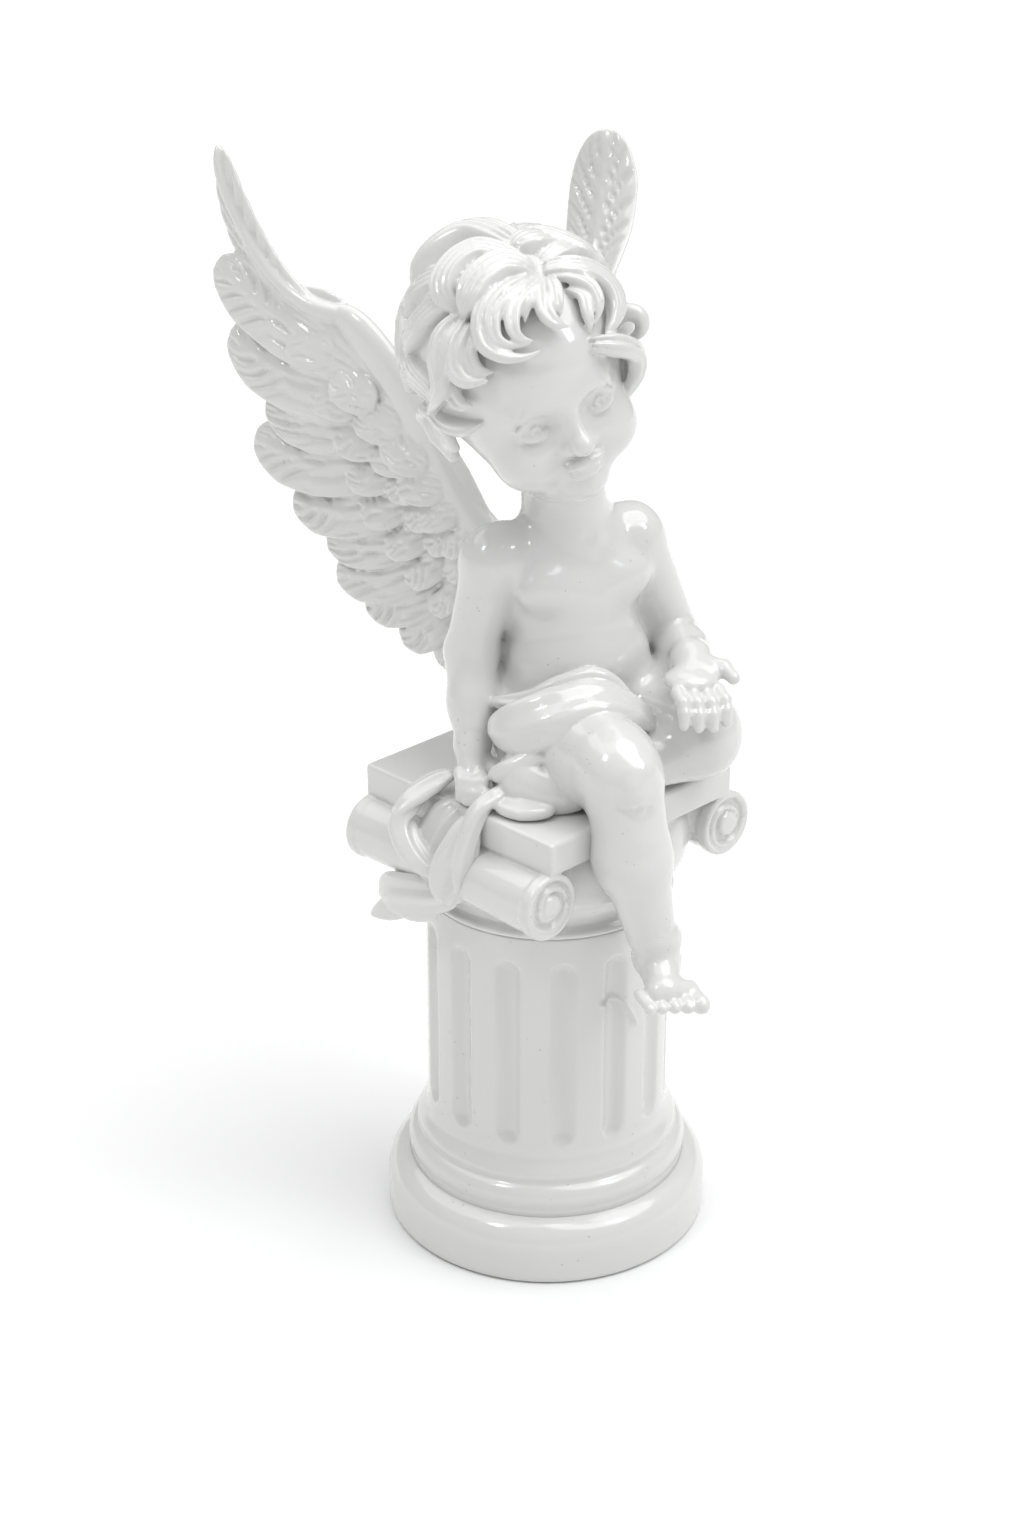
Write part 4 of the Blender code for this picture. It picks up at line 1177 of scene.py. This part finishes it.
def lacquer_group():
    """Colour, gloss and height of a sprayed lacquer over cast resin, with a painted shade colour laid into
    its pits.
    """
    if "Sprayed lacquer" in bpy.data.node_groups:
        return bpy.data.node_groups["Sprayed lacquer"]
    group = bpy.data.node_groups.new("Sprayed lacquer", "ShaderNodeTree")
    sockets = {"INPUT": ("White", "Painted pit shade", "Gloss"), "OUTPUT": ("Colour", "Roughness", "Height")}
    for way, names in sockets.items():
        for name in names:
            kind = "Color" if name in ("White", "Painted pit shade", "Colour") else "Float"
            group.interface.new_socket(name=name, in_out=way, socket_type=f"NodeSocket{kind}")
    given = group.nodes.new("NodeGroupInput")
    result = group.nodes.new("NodeGroupOutput")
    place = node(group, "ShaderNodeTexCoord")
    waves = node(group, "ShaderNodeTexNoise", Scale=38.0, Detail=3.0, Roughness=0.5)
    peel = node(group, "ShaderNodeTexNoise", Scale=420.0, Detail=2.0)
    pits = node(group, "ShaderNodeTexVoronoi", Scale=150.0)
    tone = node(group, "ShaderNodeTexNoise", Scale=9.0, Detail=2.0)
    rare = node(group, "ShaderNodeTexNoise", Scale=24.0)
    for texture in (waves, peel, pits, tone, rare):
        link(group, place, "Object", texture, "Vector")
    pit = ramped(group, pits, "Distance", 0.06, 0.13, "SMOOTHSTEP")
    rarely = ramped(group, rare, "Fac", 0.56, 0.6, "LINEAR")
    open_pit = counted(group, "SUBTRACT", 1.0, (pit, "Result"))
    chosen = counted(group, "MULTIPLY", (open_pit, "Value"), (rarely, "Result"))
    # The scattered pits are dented in the height and also given the darker painted shade colour.
    colour = node(group, "ShaderNodeMix", data_type="RGBA")
    link(group, chosen, "Value", colour, "Factor")
    link(group, given, "White", colour, 6)
    link(group, given, "Painted pit shade", colour, 7)
    link(group, colour, 2, result, "Colour")
    rough = counted(group, "MULTIPLY_ADD", (tone, "Fac"), 0.14, (given, "Gloss"))
    link(group, rough, "Value", result, "Roughness")
    height = counted(group, "MULTIPLY_ADD", (peel, "Fac"), 0.05, (waves, "Fac"))
    dented = counted(group, "MULTIPLY_ADD", (chosen, "Value"), -0.5, (height, "Value"))
    link(group, dented, "Value", result, "Height")
    return group


def plain_material(name, settings):
    material = bpy.data.materials.new(name)
    material.use_nodes = True
    shader = material.node_tree.nodes["Principled BSDF"]
    for key, value in settings.items():
        shader.inputs[key].default_value = value
    return material, shader


def lacquer(name, gloss, relief):
    """A glossy white finish; relief is the depth of its waves and pits, in metres."""
    if name in bpy.data.materials:
        return bpy.data.materials[name]
    material, shader = plain_material(name, {"IOR": 1.5, "Coat Weight": 0.6, "Coat Roughness": 0.06})
    tree = material.node_tree
    surface = node(tree, "ShaderNodeGroup", node_tree=lacquer_group())
    surface.inputs["White"].default_value = (*finishes().white, 1)
    # The painted shade colour for the pits.
    surface.inputs["Painted pit shade"].default_value = (*finishes().painted_pit_shade, 1)
    surface.inputs["Gloss"].default_value = gloss
    bump = node(tree, "ShaderNodeBump", Distance=relief, Strength=1.0)
    link(tree, surface, "Height", bump, "Height")
    link(tree, bump, "Normal", shader, "Normal")
    link(tree, surface, "Colour", shader, "Base Color")
    link(tree, surface, "Roughness", shader, "Roughness")
    return material


def pale_floor():
    matt = {"Base Color": (*finishes().floor, 1), "Roughness": 0.9, "Specular IOR Level": 0.1}
    return plain_material("Pale floor", matt)[0]


# Studio

FLOOR_REACH = 14
SKY_STRENGTH = 0.42
LIT_POINT = (0, 0, 0.45)
SENSOR_WIDTH = 36
FOCAL_PIXELS = 2600
CAMERA_PLACE = (-0.0255, -1.629, 1.1197)
CAMERA_FALL = 25.28


def placed(name, data, matrix):
    holder = bpy.data.objects.new(name, data)
    bpy.context.scene.collection.objects.link(holder)
    holder.matrix_world = matrix
    return holder


def area_light(name, place, size, power, tint):
    """A window of light that faces the middle of the work."""
    lamp = bpy.data.lights.new(name, "AREA")
    lamp.shape = "RECTANGLE"
    lamp.size, lamp.size_y = size
    lamp.energy = power
    lamp.color = tint
    aim = Vector(LIT_POINT) - Vector(place)
    placed(name, lamp, Matrix.Translation(place) @ aim.to_track_quat("-Z", "Y").to_matrix().to_4x4())


def sun_light(name, way, spread, strength):
    """Even light from a wide patch of the ceiling; spread is its width in degrees."""
    lamp = bpy.data.lights.new(name, "SUN")
    lamp.energy = strength
    lamp.angle = math.radians(spread)
    placed(name, lamp, Vector(way).to_track_quat("Z", "Y").to_matrix().to_4x4())


def photo_camera():
    """Looks along +Y and down by CAMERA_FALL's degrees."""
    view = bpy.data.cameras.new("Photograph")
    view.lens = SENSOR_WIDTH * FOCAL_PIXELS / PHOTO_SIZE[1]
    view.sensor_width = SENSOR_WIDTH
    turn = Matrix.Rotation(math.radians(90 - CAMERA_FALL), 4, "X")
    bpy.context.scene.camera = placed("Photograph", view, Matrix.Translation(CAMERA_PLACE) @ turn)


# Operators


class CHERUB_OT_column(bpy.types.Operator):
    """Turns and flutes the column"""

    bl_idname = "cherub.column"
    bl_label = "Column"

    def execute(self, context):
        finish = lacquer("Column lacquer", 0.1, 0.0006)
        piece_of("column", column_mesh(), "column_plinth", finish)
        return {"FINISHED"}


class CHERUB_OT_capital(bpy.types.Operator):
    """Models the scrolled capital"""

    bl_idname = "cherub.capital"
    bl_label = "Capital"

    def execute(self, context):
        figure_piece("capital", capital_mesh())
        return {"FINISHED"}


class CHERUB_OT_child(bpy.types.Operator):
    """Models the seated child, its hair and its drapery"""

    bl_idname = "cherub.child"
    bl_label = "Child"

    def execute(self, context):
        figure_piece("cherub", figure_mesh())
        return {"FINISHED"}


class CHERUB_OT_wings(bpy.types.Operator):
    """Models both wings, feather by feather"""

    bl_idname = "cherub.wings"
    bl_label = "Wings"

    def execute(self, context):
        figure_piece("wing_right", wing_mesh("wing_right", RIGHT_WING))
        figure_piece("wing_left", wing_mesh("wing_left", LEFT_WING))
        return {"FINISHED"}


class CHERUB_OT_stage(bpy.types.Operator):
    """Sets the floor, the soft studio light and the camera"""

    bl_idname = "cherub.stage"
    bl_label = "Stage"

    def execute(self, context):
        bm = bmesh.new()
        bmesh.ops.create_grid(bm, x_segments=1, y_segments=1, size=FLOOR_REACH)
        floor = placed("floor", mesh_of("floor", bm), Matrix())
        floor.data.materials.append(pale_floor())
        world = bpy.data.worlds.new("Studio")
        world.use_nodes = True
        sky = world.node_tree.nodes["Background"].inputs
        sky["Color"].default_value = (1, 1, 1, 1)
        sky["Strength"].default_value = SKY_STRENGTH
        context.scene.world = world
        context.scene.view_settings.view_transform = "Standard"
        sun_light("Left sky", (-0.3, 0.25, 1.0), 65, 1.15)
        sun_light("Right sky", (0.45, -0.1, 1.0), 50, 1.55)
        area_light("Left window", (-1.0, -0.9, 2.0), (0.3, 0.45), 5, (0.96, 0.98, 1))
        area_light("Right window", (1.2, -0.6, 1.6), (0.25, 0.5), 3.5, (0.94, 0.975, 1))
        photo_camera()
        return {"FINISHED"}


class CHERUB_PT_panel(bpy.types.Panel):
    """Lists the steps and the sizes"""

    bl_idname = "CHERUB_PT_panel"
    bl_label = "Cherub figurine"
    bl_space_type = "VIEW_3D"
    bl_region_type = "UI"
    bl_category = "Cherub"

    def draw(self, context):
        for operator in OPERATORS:
            self.layout.operator(operator.bl_idname)
        for name in GROUPS:
            group = getattr(context.scene, name)
            for key in group.__annotations__:
                self.layout.prop(group, key)


GROUPS = {
    "cherub_column": ColumnSizes,
    "cherub_capital": CapitalSizes,
    "cherub_figure": FigureSizes,
    "cherub_finish": Finish,
}
OPERATORS = (CHERUB_OT_column, CHERUB_OT_capital, CHERUB_OT_child, CHERUB_OT_wings, CHERUB_OT_stage)
CLASSES = (*GROUPS.values(), *OPERATORS, CHERUB_PT_panel)


def register():
    for made in CLASSES:
        bpy.utils.register_class(made)
    for name, group in GROUPS.items():
        setattr(bpy.types.Scene, name, PointerProperty(type=group))


def unregister():
    for name in GROUPS:
        delattr(bpy.types.Scene, name)
    for made in reversed(CLASSES):
        bpy.utils.unregister_class(made)


def main():
    register()
    bpy.ops.cherub.column()
    bpy.ops.cherub.capital()
    bpy.ops.cherub.child()
    bpy.ops.cherub.wings()
    bpy.ops.cherub.stage()


if __name__ == "__main__":
    main()
